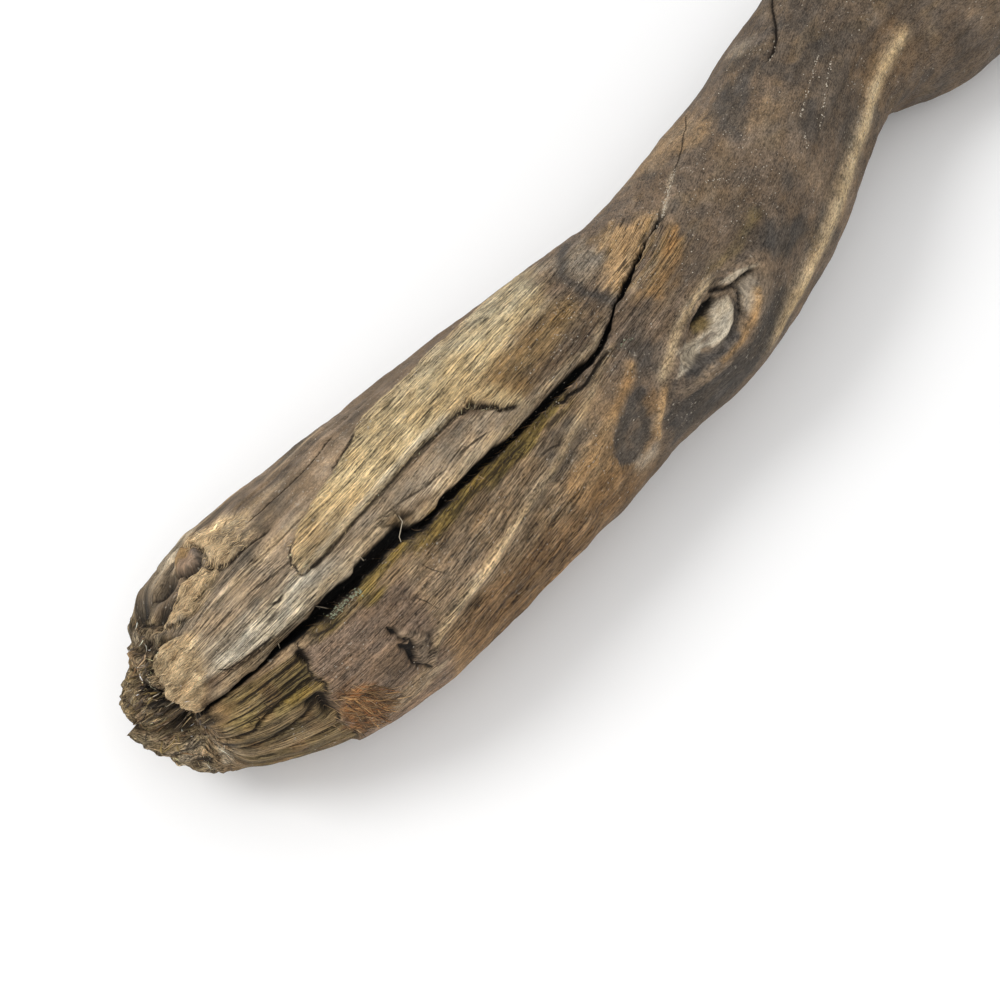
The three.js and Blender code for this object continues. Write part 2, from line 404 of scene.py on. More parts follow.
gapHoles = near([(46.6, 34.5), (46.9, 39.5)], 1.1) + near([(42, 59.5), (45, 58.5), (45.5, 68)], 1.5)
gapHoles = np.clip(gapHoles, 0, 1)
relief -= 2.6 * gapHoles
flakeEdge = [(69.7, 48), (70.2, 53), (72.2, 57), (72, 60), (69.3, 57), (71, 61), (71, 65), (70.8, 70),
    (72.2, 71), (74.4, 76.5)]
flake = toLine(flakeEdge) + 0.45 * lumps(1.3, 112) - 0.25 * lumps(4, 113)
flakeBack = toLine([(73, 54), (76, 58.4), (77.3, 61.4), (75.9, 65.5), (74.7, 68.4)])
flakeBlock = ease(insideOf([(70.5, 49), (73, 53), (77, 60), (76, 66), (78, 68), (74.7, 77), (71.5, 70),
    (71.3, 60)]) / 1.2 + 0.5)
relief += 1.1 * flakeBlock - 1.5 * bell(flake, 0.6) - 0.4 * bell(flakeBack, 0.5)
ridgeLow = [(73.5, 76), (74.7, 72.6), (77, 67.9), (80.6, 63.2), (84.7, 60.8), (90.6, 57.9), (99.4, 55.3),
    (110, 51.5), (122, 47.5), (134, 43.5), (142, 39.5), (150, 34.5), (160, 28), (168, 22.5), (173, 19.5)]
relief += 1.1 * lineOn(ridgeLow, 1.6, 8) - 0.5 * lineOn([(r[0], r[1] + 6) for r in ridgeLow], 2.0, 12)
ridgeA = [(148, 54), (150, 52), (155.7, 47.7), (160.4, 44.4), (165, 41.4), (171, 37), (175, 32.5)]
ridgeB = [(180, 54), (176.3, 59), (173.6, 63), (171.6, 67), (170.6, 73)]
eyeDip = insideOf([(157, 54), (161, 50), (170, 43), (175, 44), (174, 54), (170, 64), (168, 70), (160, 76),
    (155, 70), (154, 62)])
relief += 0.9 * near(ridgeA, 2.0) + 1.1 * near(ridgeB, 1.7) - 0.8 * ease(eyeDip / 3 + 0.5)
rib = [(216, 78), (230, 72), (250, 66), (270, 60), (290, 57), (310, 49), (332, 41)]
relief += 1.3 * lineOn(rib, 3.2, 14) - 0.6 * lineOn([(p[0], p[1] - 9) for p in rib], 3, 14)

# the knot: a collar, a hollow with a pale heart, two crevices
knotHollow = [(196, 40), (200, 35), (206, 31), (212, 29.5), (218, 33), (224, 39.5), (221, 47), (218, 54),
    (212, 58), (204, 57), (196, 55), (190, 52), (191, 45)]
hollow = ease(insideOf(knotHollow) / 2.6 + 0.3)
heartIn = (insideOf([(206, 38), (210, 36.8), (213, 40), (213.2, 46), (210.5, 52), (206, 55.2), (201.5, 54),
    (199.5, 50.8), (204, 50), (205, 44)]) + 0.4 * lumps(2.2, 34))
heart = ease(heartIn / 1.6 + 0.5)
# layers that grew round the knot
growth = np.sin(-heartIn * 3.3 + 2 * lumps(5, 35)) * ease((12 + heartIn) / 6) * (1 - heart)
lowerLipOfKnot = near([(191, 43), (194, 44), (198, 46.2), (203, 47), (205.5, 44)], 1.0)
relief += (1.0 * np.exp(-((insideOf(knotHollow) + 3.2) / 2.8) ** 2) - 2.8 * hollow + 1.7 * heart
    + 0.8 * lowerLipOfKnot)
relief += 0.18 * growth - 0.25 * heart * np.abs(lumps(1.6, 36))
darkPit = [(196.5, 39.8), (199.5, 36.3), (203, 33.6), (207, 33), (210.8, 34.6), (209, 36.8), (206, 38.3),
    (203, 38.8), (199, 39.6)]
pit = ease((insideOf(darkPit) + 0.4 * lumps(1.6, 37)) / 0.9 + 0.5)
oliveDip = patch([(200, 38.5), (205, 38), (205, 43), (203, 45.5), (199.5, 43)], 1.6)
relief -= 2.6 * pit + 1.0 * oliveDip
creviceA = (toLine([(209.5, 29.5), (212.5, 33), (214, 36), (217, 38.5), (222.8, 39.7)])
    + 0.25 * lumps(1.2, 38))
creviceB = toLine([(217, 39), (217.4, 43), (215.6, 47), (213.4, 54)]) + 0.25 * lumps(1.2, 39)
slateBand = toLine([(190, 55), (194, 55.8), (198, 56.2), (203, 57.6), (208, 56.6), (212, 52), (213.6, 48)])
relief -= 1.3 * bell(creviceA, 0.55) + 1.2 * bell(creviceB, 0.5) + 0.6 * bell(slateBand, 1.3)

# grooved skin up on the left, and grain everywhere
oldSkin = between(30, 112, 14) * under(turn, -4, 8) * (1 - raised)
for path, depth in (([(56, -35.5), (64, -36), (74, -37.2), (86, -40), (95, -44)], 0.9),
        ([(87, -27.5), (93, -29), (99, -33)], 1.4), ([(50, -13), (60, -13.5), (70, -16)], 0.6),
        ([(60, -50), (80, -54), (100, -60)], 0.8), ([(45, -21), (52, -23), (61, -22)], 1.0),
        ([(96, -50), (108, -54), (118, -60)], 0.8), ([(84, 8.5), (92, 9), (100, 10.8), (108, 11)], 0.6),
        ([(70, 14), (80, 11.5), (92, 9.5)], 0.4)):
    relief -= depth * lineOn(path, 0.55)
mossPath = np.interp(along, crack[:, 0], crack[:, 2])
mossWall = (between(54, 152, 10) * ease((turn - mossPath + 4) / 1)
    * ease((mossPath + 7 + 3.5 * streaks(12, 1.5, 79) - turn) / 2))
fibrous = np.clip(0.15 + 0.6 * raised * between(20, 190, 60) * ease((60 - np.abs(turn + 20)) / 20)
    + 0.4 * plankHere + 0.35 * planks + 0.35 * between(80, 156, 12) * over(turn, 22, 6) + 0.6 * mossWall
    + 0.35 * between(0, 60, 20) * under(turn, 30, 10), 0, 1)
relief += fibrous * (0.22 * fineStreak + 0.36 * midStreak + 0.4 * wideStreak) + 0.14 * lumps(2.6, 23)
relief -= 0.8 * fibrous * stripes(26, 1.5, 14, 0.4, 0.25)

# the rotted end: bundles of broken fibre, felt lips, cavities
rotten = under(along, 24, 10)
radialStreak = softNoise(grain / [9, 2.2, 2.2], 51)
bundles = 1 - 2.4 * np.abs(softNoise(grain / [9, 2.6, 2.6], 50))
girdles = softNoise(lumpPlace / [1.7, 10, 10], 49)  # torn layers that run round the rim
relief += rotten * (0.7 * radialStreak + 0.9 * bundles + 0.6 * softNoise(grain / [5, 1.1, 1.1], 53))
relief += (under(along, 20, 8) * (1.5 * lumps(5.5, 52) + 0.8 * lumps(2.6, 48)
    + 0.8 * girdles * under(turn, 30, 20)))
feltOutlines = ([(10, -13), (15, -14), (20, -12), (26, -9), (29, 0), (27, 8), (24, 14), (23, 20), (19, 32),
    (17, 38), (13, 36), (10, 29), (7, 24), (7.5, 11), (8, 0)],
    [(20, -22), (23, -27), (28, -30), (33, -35), (36, -34), (41, -30), (43, -22), (40, -16), (33, -12),
    (27, -13), (22, -17)], [(41, -64), (48, -60), (57, -56), (61, -46), (62, -36), (60, -24), (52, -23),
    (46, -22), (43.5, -26), (43.5, -34), (44.5, -40), (42, -50)])
feltIn = (np.max([insideOf(outline) for outline in feltOutlines], 0) + 1.1 * lumps(3.4, 54)
    + 0.7 * streaks(3, 0.9, 55))
softSide = ease((along - np.interp(turn, [-62, -50, -40, -24, -20, -10, 10, 22, 40],
    [44, 47, 50, 56, 33, 23, 21, 20, 15])) / 7 + 0.5)
feltMask = ease(feltIn / (1.2 + 6 * softSide) + 0.5 - 0.35 * softSide)
feltThick = feltMask * (1 - softSide) * np.where(along > 40, 0.5, 1)
relief += (1.5 * feltThick * ease(feltIn / 3 + 0.6)
    + feltMask * (0.7 * lumps(2.2, 56) + (0.8 - 0.3 * softSide) * lumps(5, 57)))
# a narrow band just outside the felt's edge, carved lower and painted as shade below the felt
shadeUnderFelt = bell(feltIn + 1.0, 0.9) * (1 - feltMask) * between(8, 62, 6) * (1 - softSide)
relief -= 1.0 * shadeUnderFelt
knobIn = 4.6 - np.hypot(along - 38.5, (turn + 45) * spread * 0.85) + 0.5 * lumps(2, 111)  # a stub of a twig
knob = ease(knobIn / 1.2 + 0.5)
knobShadow = bell(knobIn + 0.5, 0.6) * over(turn, -47, 5) * under(along, 44, 4)
relief += 1.7 * knob - 0.9 * ease((knobIn - 2) / 2) - 2.0 * knobShadow + 0.7 * knob * lumps(2.6, 118)
raggedRim = between(10, 48, 10) * under(turn, -36, 8) * over(turn, -100, 20) * (1 - feltMask) * (1 - knob)
rimLayers = softNoise(lumpPlace / [9, 3.2, 3.2], 119)
relief += raggedRim * (0.9 * rimLayers + 0.5 * streaks(10, 1.6, 116))
splinter = near([(14, -25), (20, -19), (27, -13)], 1.3)
relief += 1.2 * splinter
hollowsOfEnd = (((3, 40), (5, 11), 6), ((-3, 62), (4, 7), 4), ((36.5, -33), (4.2, 1.6), 3),
    ((28, -43), (4, 3.5), 2.8), ((42, -28), (1.6, 2), 2), ((22, -32), (4, 3), 2.4), ((17, -62), (6, 8), 4),
    ((-6, 75), (6, 10), 3), ((-14, -60), (6, 10), 3.5), ((2, 6), (2.2, 9), 3.2), ((12, -24), (3, 3), 2.2))
ringAlong = np.interp(turn, [-34, -13, 10, 26, 39, 58], [5, 0.5, 2.5, 5, 8, 6])
cavityRing = np.exp(-((along - ringAlong) / 3.4) ** 4) * over(turn, -30, 8) * under(turn, 62, 8)
ribs = ease(0.5 + 1.6 * softNoise(grain / [12, 1.5, 1.5], 103))
relief -= cavityRing * (3.2 - 2.2 * ribs)
bandOfBark = near([(16, -47), (9.5, -36), (5.5, -24), (3, -10), (4, 0)], 1.5)
relief += 1.3 * bandOfBark
rimLines = [([(2, -62), (1, -45), (-2, -30), (-4, -15), (-5, 0), (-3, 12), (-1, 22), (2, 32)], 0.9, 0.6),
    ([(13, -60), (9, -45), (4, -32), (0, -20), (-1.5, -8)], 0.9, 0.5),
    ([(27, -24), (21, -29), (17, -37), (15, -46)], 1.0, 0.7),
    ([(29, -28), (22, -24.5), (15, -27)], 0.9, 0.5), ([(-8, -40), (-9, -20), (-9, 0), (-7, 20)], 0.8, 0.5),
    ([(8, 48), (10, 60), (8, 74), (3, 86)], 0.8, 0.6), ([(0, 44), (1, 56), (0, 70), (-5, 84)], 0.8, 0.5),
    ([(31, -40), (25, -46), (19, -56), (16, -70)], 0.8, 0.5),
    ([(38, -54), (32, -62), (29, -74)], 0.8, 0.5),
    ([(14, -12), (9, -6), (7, 4), (6.5, 14), (7, 24)], 0.9, 0.5)]
for path, strength, halfWidth in rimLines:
    relief -= 1.1 * np.exp(-((toLine(path) + 0.5 * lumps(2.4, 115)) / (1.6 * halfWidth)) ** 2)
holeOfEnd = 0 * turn
for spot, size, depth in hollowsOfEnd:
    hole = np.exp(-(((along - spot[0]) / size[0]) ** 2 + ((turn - spot[1]) * spread / size[1]) ** 2) ** 1.4)
    relief -= depth * hole * (1 + 0.3 * lumps(3, 58))
    holeOfEnd = np.maximum(holeOfEnd, hole)
relief += 3.5 * under(along, 30, 22) * over(turn, 62, 25) * under(turn, 150, 40)  # the jutting lower corner
relief -= 2.5 * under(along, 24, 10) * under(turn, -30, 25)
relief[rowFan > 0] *= 0.8
relief += (ease((along - (fanEnd + 6)) / 20) * (0.8 * softNoise(grain / [8, 2.5, 2.5], 61)
    + 0.6 * lumps(6, 62)))

# thin lines of painted shade in cracks and grooves, and the painted shade under torn edges, are drawn by
# the material, from the signed distance to the nearest one
# (path of along and turn, strength, half width in mm)
darkLines = [(plankLine, 0.85, 0.32), (secondCrack, 1.0, 0.6), (farCrack, 1.0, 0.5),
    ([(238, -32.4), (243, -35.6), (247, -38.5), (252, -43.8), (258, -50), (266, -61)], 0.9, 0.35),
    ([(44, -1), (52, -1), (60, -2)], 0.7, 0.3), ([(45, -21), (52, -23), (61, -22)], 1.0, 0.5),
    ([(110, 10), (117.5, 7.7)], 0.8, 0.35), ([(114, 10.2), (120, 10), (126, 11.2)], 0.9, 0.4),
    ([(100, 10), (104, 11)], 0.8, 0.4),
    ([(26, 20.2), (27, 21.6), (28.5, 23), (31, 23.1), (36, 22.7), (43, 22)], 1.0, 0.4),
    ([(22, 27.5), (31, 25.4), (40, 24), (50, 22.6)], 0.8, 0.35),
    ([(47.5, 9.5), (50, 10.6), (52, 9.6)], 1.0, 0.6), ([(44, 15), (48, 14)], 0.8, 0.5),
    ([(52, 31.5), (56, 33.5), (61, 33.2)], 0.9, 0.5), ([(141, 27.5), (149.5, 26.5)], 0.9, 0.8),
    ([(134, 35), (138, 35.5), (141, 37), (144, 35)], 0.8, 0.4),
    ([(56, -35.5), (64, -36), (74, -37.2), (86, -40), (95, -44)], 0.9, 0.4),
    ([(86, -26.5), (90, -28), (94, -30.3), (99, -33.6)], 1.0, 0.85),
    ([(50, -13), (60, -13.5), (70, -16)], 0.6, 0.35), ([(60, -50), (80, -54), (100, -60)], 0.7, 0.35),
    ([(30, -8), (42, -9), (56, -10)], 0.35, 0.3), ([(96, -50), (108, -54), (118, -60)], 0.7, 0.35),
    ([(84, 8.5), (92, 9), (100, 10.8), (108, 11)], 0.8, 0.35),
    ([(70, 14), (80, 11.5), (92, 9.5)], 0.6, 0.3), ([(100, -1), (112, -3), (124, -3.4)], 0.4, 0.25),
    ([(110, 4), (122, 2), (132, 2.5)], 0.4, 0.25), ([(30, 9), (44, 7), (58, 6)], 0.4, 0.25),
    ([(79.1, 44.4), (80.6, 48), (82.4, 55.5)], 0.9, 0.35), ([(77.6, 43.2), (79.2, 41.2)], 0.9, 0.4),
    ([(84.7, 31.4), (85.9, 38.5), (88.3, 43.8)], 0.8, 0.35),
    ([(54.5, 65), (57.6, 70), (60, 76.6), (60.6, 83)], 0.9, 0.6),
    ([(52, 44), (60, 42), (66, 40.5)], 0.5, 0.3), ([(84, 48), (96, 45), (110, 42)], 0.4, 0.3),
    ([(88, 36), (104, 33), (122, 30)], 0.5, 0.3), ([(100, 28), (118, 26.5), (134, 26)], 0.8, 0.45),
    ([(112, 30), (126, 29.5), (140, 30)], 0.5, 0.35), ([(92, 70), (108, 66), (128, 62)], 0.5, 0.35),
    ([(62, 78), (76, 79), (92, 76)], 0.5, 0.3)]
darkLines += [(path, 1.0, halfWidth) for path,
    halfWidth in zip(plankGrooves, (0.6, 0.6, 0.9, 0.8, 0.6, 0.35, 0.35))]
darkLines += [([(66, -104), (100, -110), (150, -117)], 0.8, 0.4),
    ([(120, -132), (160, -138), (214, -140)], 0.7, 0.35),
    ([(188, -104), (215, -109), (240, -118)], 0.7, 0.35),
    ([(256, -96), (290, -103), (330, -106)], 0.8, 0.4), ([(96, 118), (140, 112), (170, 110)], 0.7, 0.35),
    ([(250, 100), (300, 96), (332, 96)], 0.6, 0.3), ([(356, 34), (384, 28), (412, 26)], 0.8, 0.4),
    ([(372, -70), (396, -74), (424, -80)], 0.8, 0.4)]
lineOffset, linePresence = np.full(turn.shape, 4.0), np.zeros(turn.shape)
for path, strength, halfWidth in darkLines:
    offset = offsetFrom(path) / halfWidth * 0.35
    here = strength * between(path[0][0], path[-1][0], 2.5)
    nearer = (np.abs(offset) < np.abs(lineOffset)) & (here > 0.02)
    lineOffset = np.where(nearer, offset, lineOffset)
    linePresence = np.where(nearer, here, linePresence)
for path, strength, halfWidth in rimLines:
    offset = (toLine(path) + 0.5 * lumps(2.4, 115)) / halfWidth * 0.35
    nearer = (np.abs(offset) < np.abs(lineOffset)) & (offset < 2)
    lineOffset = np.where(nearer, offset, lineOffset)
    linePresence = np.where(nearer, strength, linePresence)
linePresence *= np.exp(-(lineOffset / 1.6) ** 4)
lineOffset = np.clip(lineOffset, -3, 3)
# where raised edges and thin lines lie, and how strongly the material paints shade and a step there
panelSide = turn > 30
edgeOffset = np.clip(np.where(panelSide, -beyondPanel, np.maximum(tongueEdge, feltIn)), -4, 4)
softUpper = 1 - 0.85 * under(turn, -5, 6) * over(along, 61, 3)  # the tongue's upper edge has no drop
softUpper *= 1 - 0.65 * between(70, 124, 4) * (turn > -9)  # and little along the middle of its lower edge
edgePresence = np.where(panelSide, between(30, 56, 10) * under(turn, 110, 20),
    between(8, 139, 3) * over(turn, -60, 12) * under(turn, 14, 3) * softUpper
    * (1 - softSide * (feltIn > -3)))
edges = np.stack([edgeOffset, lineOffset, linePresence], -1)

# the belly stays flat where the CAD is worn flat
heightOfCad = (pith + outward * reach[..., None])[..., 2]
relief = np.where(relief > 0, relief * ease(heightOfCad / 9), relief)
place = pith + outward * (reach + relief)[..., None]
place[..., 2] = np.maximum(place[..., 2], 0.0)
place[:, -1] = place[:, 0]
place[0] = place[0].mean(0)
place[-1] = place[-1].mean(0)
print("relief carved")

# paint, as plain sRGB colours laid on with soft brushes; the darkest colour, last in the list, is painted
# shade for cracks, holes, crevices and under edges, and the one before it is painted shade in gaps and
# hollows as well as the dark of spots and streaks in the rust, moss and rotted wood
wood = {'skin': (0.42, 0.36, 0.30), 'farSkin': (0.38, 0.33, 0.28), 'tan': (0.74, 0.65, 0.49),
    'tanPale': (0.72, 0.66, 0.54), 'plank': (0.59, 0.52, 0.43), 'plankPale': (0.76, 0.71, 0.62),
    'oldSkin': (0.52, 0.45, 0.37), 'amber': (0.52, 0.42, 0.28), 'umber': (0.39, 0.33, 0.27),
    'moss': (0.43, 0.36, 0.19), 'beige': (0.57, 0.48, 0.37), 'ridge': (0.73, 0.64, 0.50),
    'redBrown': (0.46, 0.36, 0.25), 'mauve': (0.48, 0.40, 0.33), 'olive': (0.47, 0.40, 0.25),
    'rust': (0.55, 0.36, 0.20), 'orange': (0.65, 0.50, 0.32), 'slate': (0.275, 0.255, 0.235),
    'pale': (0.73, 0.68, 0.595), 'orangeTan': (0.66, 0.54, 0.39), 'scar': (0.60, 0.55, 0.48),
    'yellow': (0.70, 0.58, 0.28), 'felt': (0.98, 0.86, 0.67), 'feltBase': (0.89, 0.78, 0.61),
    'darkStainAndShade': (0.13, 0.11, 0.09), 'paintedShadow': (0.05, 0.045, 0.04), }
paint = np.ones(turn.shape + (3,)) * wood['skin']


def brush(mask, colour, strength=1.0):
    global paint
    paint = paint + (np.array(wood[colour]) - paint) * np.clip(mask * strength, 0, 1)[..., None]


def stain(outline, fade, ragged, seed, colour, strength):
    brush(patch(outline, fade, ragged, seed), colour, strength)


brush(between(285, 480, 30), 'farSkin')
brush(spots(18, 72, 0.1, 0.5) * between(215, 470, 20), 'umber', 0.5)
brush(spots(13, 73, 0.3, 0.4) * between(215, 470, 20), 'oldSkin', 0.4)
brush(spots(9, 40, 0.25, 0.3) * between(200, 470, 20), 'slate', 0.4)
brush(spots(6, 33, 0.4, 0.3) * between(190, 470, 20), 'amber', 0.2)
brush(between(28, 160, 30) * over(turn, 20, 6), 'beige')
brush(between(80, 165, 20) * over(turn, 58, 10), 'redBrown', 0.9)
brush(between(46, 80, 5) * over(turn, 32, 4), 'mauve', 0.9)
stain([(61, 55), (70, 54), (70, 70), (62, 72)], 5, 2, 43, 'umber', 0.6)
stain([(60, 78), (72, 76), (78, 80), (72, 88), (60, 88)], 4, 2, 42, 'ridge', 0.5)
stain([(80, 40), (100, 36), (102, 54), (84, 56)], 5, 2, 41, 'oldSkin', 0.7)
brush(between(0, 140, 40) * under(turn, 8, 10), 'oldSkin')
brush(between(10, 60, 14) * under(turn, 4, 6) * over(turn, -26, 8), 'plank', 0.8)
brush(under(turn, -55, 12) * over(turn, -110, 30) * between(120, 260, 40), 'beige', 0.4)
brush(oldSkin * under(turn, -38, 6), 'umber', 0.5)
stain([(118, -50), (140, -52), (160, -60), (172, -84), (110, -90), (104, -66)], 8, 3, 107, 'umber', 0.6)
brush(oldSkin * stripes(30, 3, 105, 0.15, 0.3), 'ridge', 0.35)
# tongue and the skin that it grows out of
tongueMask = ease(tongueEdge / 0.8 + 0.5)
tanArea = [(58, 8), (57, -8), (80, -26), (98, -36), (112, -42), (126, -44), (150, -50), (165, -62),
    (178, -72), (180, -46), (172, -24), (150, -14), (136, -5), (128, -4), (100, 0), (80, 6)]
tanHere = patch(tanArea, 12, 2, 81) * tongueMask * over(turn, -100, 34)
brush(tanHere, 'tan')
brush(between(110, 190, 30) * under(turn, -26, 14) * tanHere, 'tanPale', 0.8)
stain([(128, -10), (136, -12), (178, -20), (180, 0), (160, 6), (144, 9), (136, 6)], 8, 2, 82, 'amber', 0.9)
stain([(150, 2), (178, -8), (186, 0), (176, 12), (150, 14)], 8, 2, 83, 'umber', 0.8)
stain([(128, -12), (134, -12), (142, 2), (141, 14), (136, 8), (131, -2)], 4, 2, 84, 'tan', 0.7)
# plank
plankMask = (between(24, 140, 8) * (1 - tongueMask) * ease((turn + 3 - 0.1 * (60 - along).clip(0, 40)) / 5)
    * under(turn, 24, 3))
brush(plankMask, 'plank')
brush(plankMask * between(10, 66, 24) * over(turn, 2, 6), 'plankPale', 0.9)
brush(plankMask * between(20, 66, 20) * stripes(24, 3, 126, 0.2, 0.3), 'oldSkin', 0.45)
# bare wood along the tongue's lower edge
greyStrip = between(66, 122, 6) * np.exp(-((offsetFrom(plankLine) + 1.7) / 1.2) ** 4)
brush(greyStrip, 'plankPale', 0.6)
brush(lowBoard, 'umber', 0.75)
brush(lowBoard * stripes(12, 1.2, 114, 0.1, 0.3), 'beige', 0.5)
brush(brokenCorner, 'redBrown', 0.7)
# painted shade in the pits of the broken corner
brush(brokenCorner * spots(1.8, 102, -0.1, 0.3), 'paintedShadow', 0.85)
# a painted highlight: the rounded upper lip of the crack painted lighter
brush(openHere * upperSide * bell(toUpper + 1.6, 1.8), 'ridge', 0.55)
# far side of the tongue: orange wedges, grey fibres, slate
stain([(176, -52), (184, -46), (186, 34), (178, 30), (176, -10)], 8, 2, 85, 'umber', 0.7)
stain([(180, -44), (196, -44), (196, -22), (183, -18)], 8, 3, 86, 'scar', 0.8)
stain([(186, -8), (196, -22), (198, -38), (208, -38), (217, -22), (212, -17), (200, -11), (190, -2)], 6, 3,
    87, 'orangeTan', 0.95)
stain([(194, 8), (201, -2), (211, -9.5), (217, -7), (216, 2), (206, 9), (197, 14)], 5, 3, 88, 'orange',
    0.85)
stain([(186, 8), (194, 0), (204, -6), (203, -2), (196, 5), (189, 12)], 2, 1, 109, 'mauve', 0.6)
wedges = patch([(186, -8), (196, -22), (200, -38), (212, -36), (218, -18), (216, 4), (204, 12), (190, 10)],
    6, 2, 121)
brush(wedges * stripes(18, 1.4, 122, 0.15, 0.3), 'amber', 0.6)
brush(wedges * stripes(22, 1.2, 123, 0.3, 0.3), 'ridge', 0.4)
brush(lineOn(hairline, 0.8, 10) * under(along, 248, 14) * ease(0.9 + lumps(2.5, 74)), 'pale', 0.75)
stain([(236, -44), (262, -40), (266, -75), (225, -80)], 16, 3, 89, 'beige', 0.8)
stain([(245, -44), (262, -44), (262, -36), (256, -28), (246, -32)], 6, 3, 89, 'orangeTan', 0.5)
stain([(262, -34), (266, -40), (277, -44), (281, -38), (290, -36), (292, -30), (275, -22), (262, -12),
    (256, -12), (258, -26)], 7, 2.5, 90, 'slate', 0.75)
stain([(292, -62), (300, -60), (302, -44), (292, -42)], 5, 2, 32, 'scar', 0.6)
stain([(228, 34), (236, 30), (239, 38), (246, 44), (247, 56), (237, 54), (230, 44)], 5, 2.5, 31, 'slate',
    0.85)
stain([(270, 12), (300, 10), (304, 30), (272, 34)], 10, 3, 30, 'slate', 0.4)
stain([(205, 6), (236, 4), (236, 26), (216, 26), (206, 18)], 8, 3, 29, 'umber', 0.6)
stain([(213, 21), (236, 19), (236, 25), (216, 26)], 4, 2, 28, 'olive', 0.6)
stain([(262, -10), (276, -12), (276, 0), (264, 2)], 7, 3, 27, 'beige', 0.5)
stain([(300, 34), (330, 30), (334, 62), (300, 62)], 10, 4, 26, 'redBrown', 0.5)
brush(np.exp(-((toLine([(193, -54), (187, -42), (182, -32), (181, -22), (181, -13), (183, -5), (184, 1)])
    + 0.5 * lumps(3, 127)) / 1.8) ** 2), 'slate', 0.8)
# flank of the knot
stain([(134, 34), (142, 30), (150, 32), (151, 42), (144, 50), (136, 52), (131, 46)], 5, 2, 128, 'slate',
    0.6)
stain([(175, 20), (184, 20), (187, 34), (182, 44), (173, 42), (176, 32)], 6, 2, 91, 'slate', 0.7)
stain([(134, 52), (150, 50), (156, 50), (155, 62), (154, 70), (150, 76), (140, 74), (134, 66)], 5, 2, 25,
    'orange', 0.4)
brush(near(ridgeA, 2.0), 'orange', 0.65)
brush(near(ridgeA[:4], 1.5), 'orangeTan', 0.8)
brush(ease((eyeDip + 0.8 * lumps(2, 24)) / 1.4 + 0.5), 'slate', 0.8)
brush(ease((eyeDip - 3) / 3) * spots(4, 92, -0.2, 0.4), 'umber', 0.7)
stain([(171, 51), (177, 50), (176, 58), (171, 60)], 3, 1, 93, 'redBrown', 0.7)
brush(near(ridgeB, 1.7), 'orangeTan', 0.95)
stain([(180, 56), (185, 54), (184, 66), (178, 68)], 4, 2, 94, 'slate', 0.8)
stain([(176, 66), (200, 64), (226, 58), (230, 62), (222, 80), (196, 86), (176, 86)], 6, 2, 93, 'slate',
    0.85)
stain([(184, 59), (200, 58), (202, 63), (186, 67)], 4, 2, 23, 'oldSkin', 0.8)
stain([(200, 30), (205, 24), (212, 24), (226, 36), (228, 46), (222, 58), (212, 61)], 5, 1, 22, 'oldSkin',
    0.6)
brush(near([(182, 48), (187, 43), (191, 38), (195, 33), (201, 28.5), (205, 26.5), (210, 25)], 1.9),
    'ridge', 0.75)
stain([(159, 74), (170, 74), (170, 84), (160, 84)], 5, 2, 95, 'scar', 0.7)
# painted shade: the lower flank beyond the ridge darkened where it turns down towards the floor
brush(between(132, 186, 30) * over(turn, 84, 14) * under(turn, 134, 30), 'umber', 0.7)
brush(hollow, 'oldSkin', 0.85)
brush(ease(growth), 'slate', 0.55)
brush(lowerLipOfKnot, 'pale', 0.75)
brush(heart, 'pale', 0.95)
brush(heart * spots(3.2, 21, 0.1, 0.4), 'scar', 0.5)
brush(oliveDip, 'olive', 0.8)
stain([(185, 53), (190, 48), (196, 46.5), (200, 48), (199, 52), (192, 54.5)], 1.6, 0.5, 108, 'plankPale',
    0.75)
stain([(213, 30.5), (219, 33.5), (225, 39.6), (217, 37), (214.5, 33.5)], 1, 0.3, 20, 'pale', 0.85)
stain([(218, 41), (223, 41), (221, 50), (216, 56), (214.5, 54), (217, 47)], 1.5, 0.6, 19, 'scar', 0.8)
brush(near([(201, 60.5), (208, 60), (214, 57.6), (218.5, 54), (220.5, 49)], 0.9), 'orange', 0.7)
brush(bell(slateBand, 1.2), 'slate', 0.9)
stain([(190, 53.5), (198, 53), (199, 57), (192, 58)], 1.5, 0.5, 18, 'slate', 0.9)
# painted shade: the knot's pit and its two crevices filled near-black
brush(pit, 'paintedShadow', 0.92)
brush(np.maximum(bell(creviceA, 0.6), bell(creviceB, 0.5)), 'paintedShadow', 0.9)
stain([(240, 60), (262, 54), (290, 46), (292, 54), (262, 60), (244, 68)], 4, 2, 17, 'slate', 0.5)
# the rib's light tan: partly its own colour, partly a painted highlight on its rise
brush(lineOn(rib, 3.3, 12), 'ridge', 0.95)
brush(between(74, 134, 10) * np.exp(-(offsetFrom([(r[0], r[1] + 1.5) for r in ridgeLow[3:10]]) / 3.5)
    ** 2), 'oldSkin', 0.6)
brush(lineOn(ridgeLow, 2.4, 8) * ease(0.9 + streaks(14, 1.6, 120)), 'ridge', 0.4)
brush(lineOn(ridgeLow, 1.1, 8) * (0.45 + 0.4 * between(70, 112, 20)), 'ridge', 0.95)
# lower flank by the rotted end
brush(mossWall, 'moss', 0.9)
brush(mossWall * stripes(16, 1.4, 16, 0.25, 0.25), 'darkStainAndShade', 0.8)
brush(mossWall * between(60, 90, 10) * stripes(9, 1.6, 110, -0.2, 0.4), 'umber', 0.7)
brush(mossWall * stripes(14, 1.1, 15, 0.35, 0.2), 'yellow', 0.4)
brush(planks, 'olive', 0.95)
brush(planks * over(turn, 56, 6), 'umber', 0.4)
brush(planks * stripes(26, 3.2, 60, 0.1, 0.4), 'beige', 0.35)
brush(planks * spots(5, 14, 0.2, 0.3), 'redBrown', 0.5)
stain([(36, 52), (41, 50), (44, 51), (43.5, 54), (38, 55)], 1.5, 0.8, 13, 'yellow', 0.5)
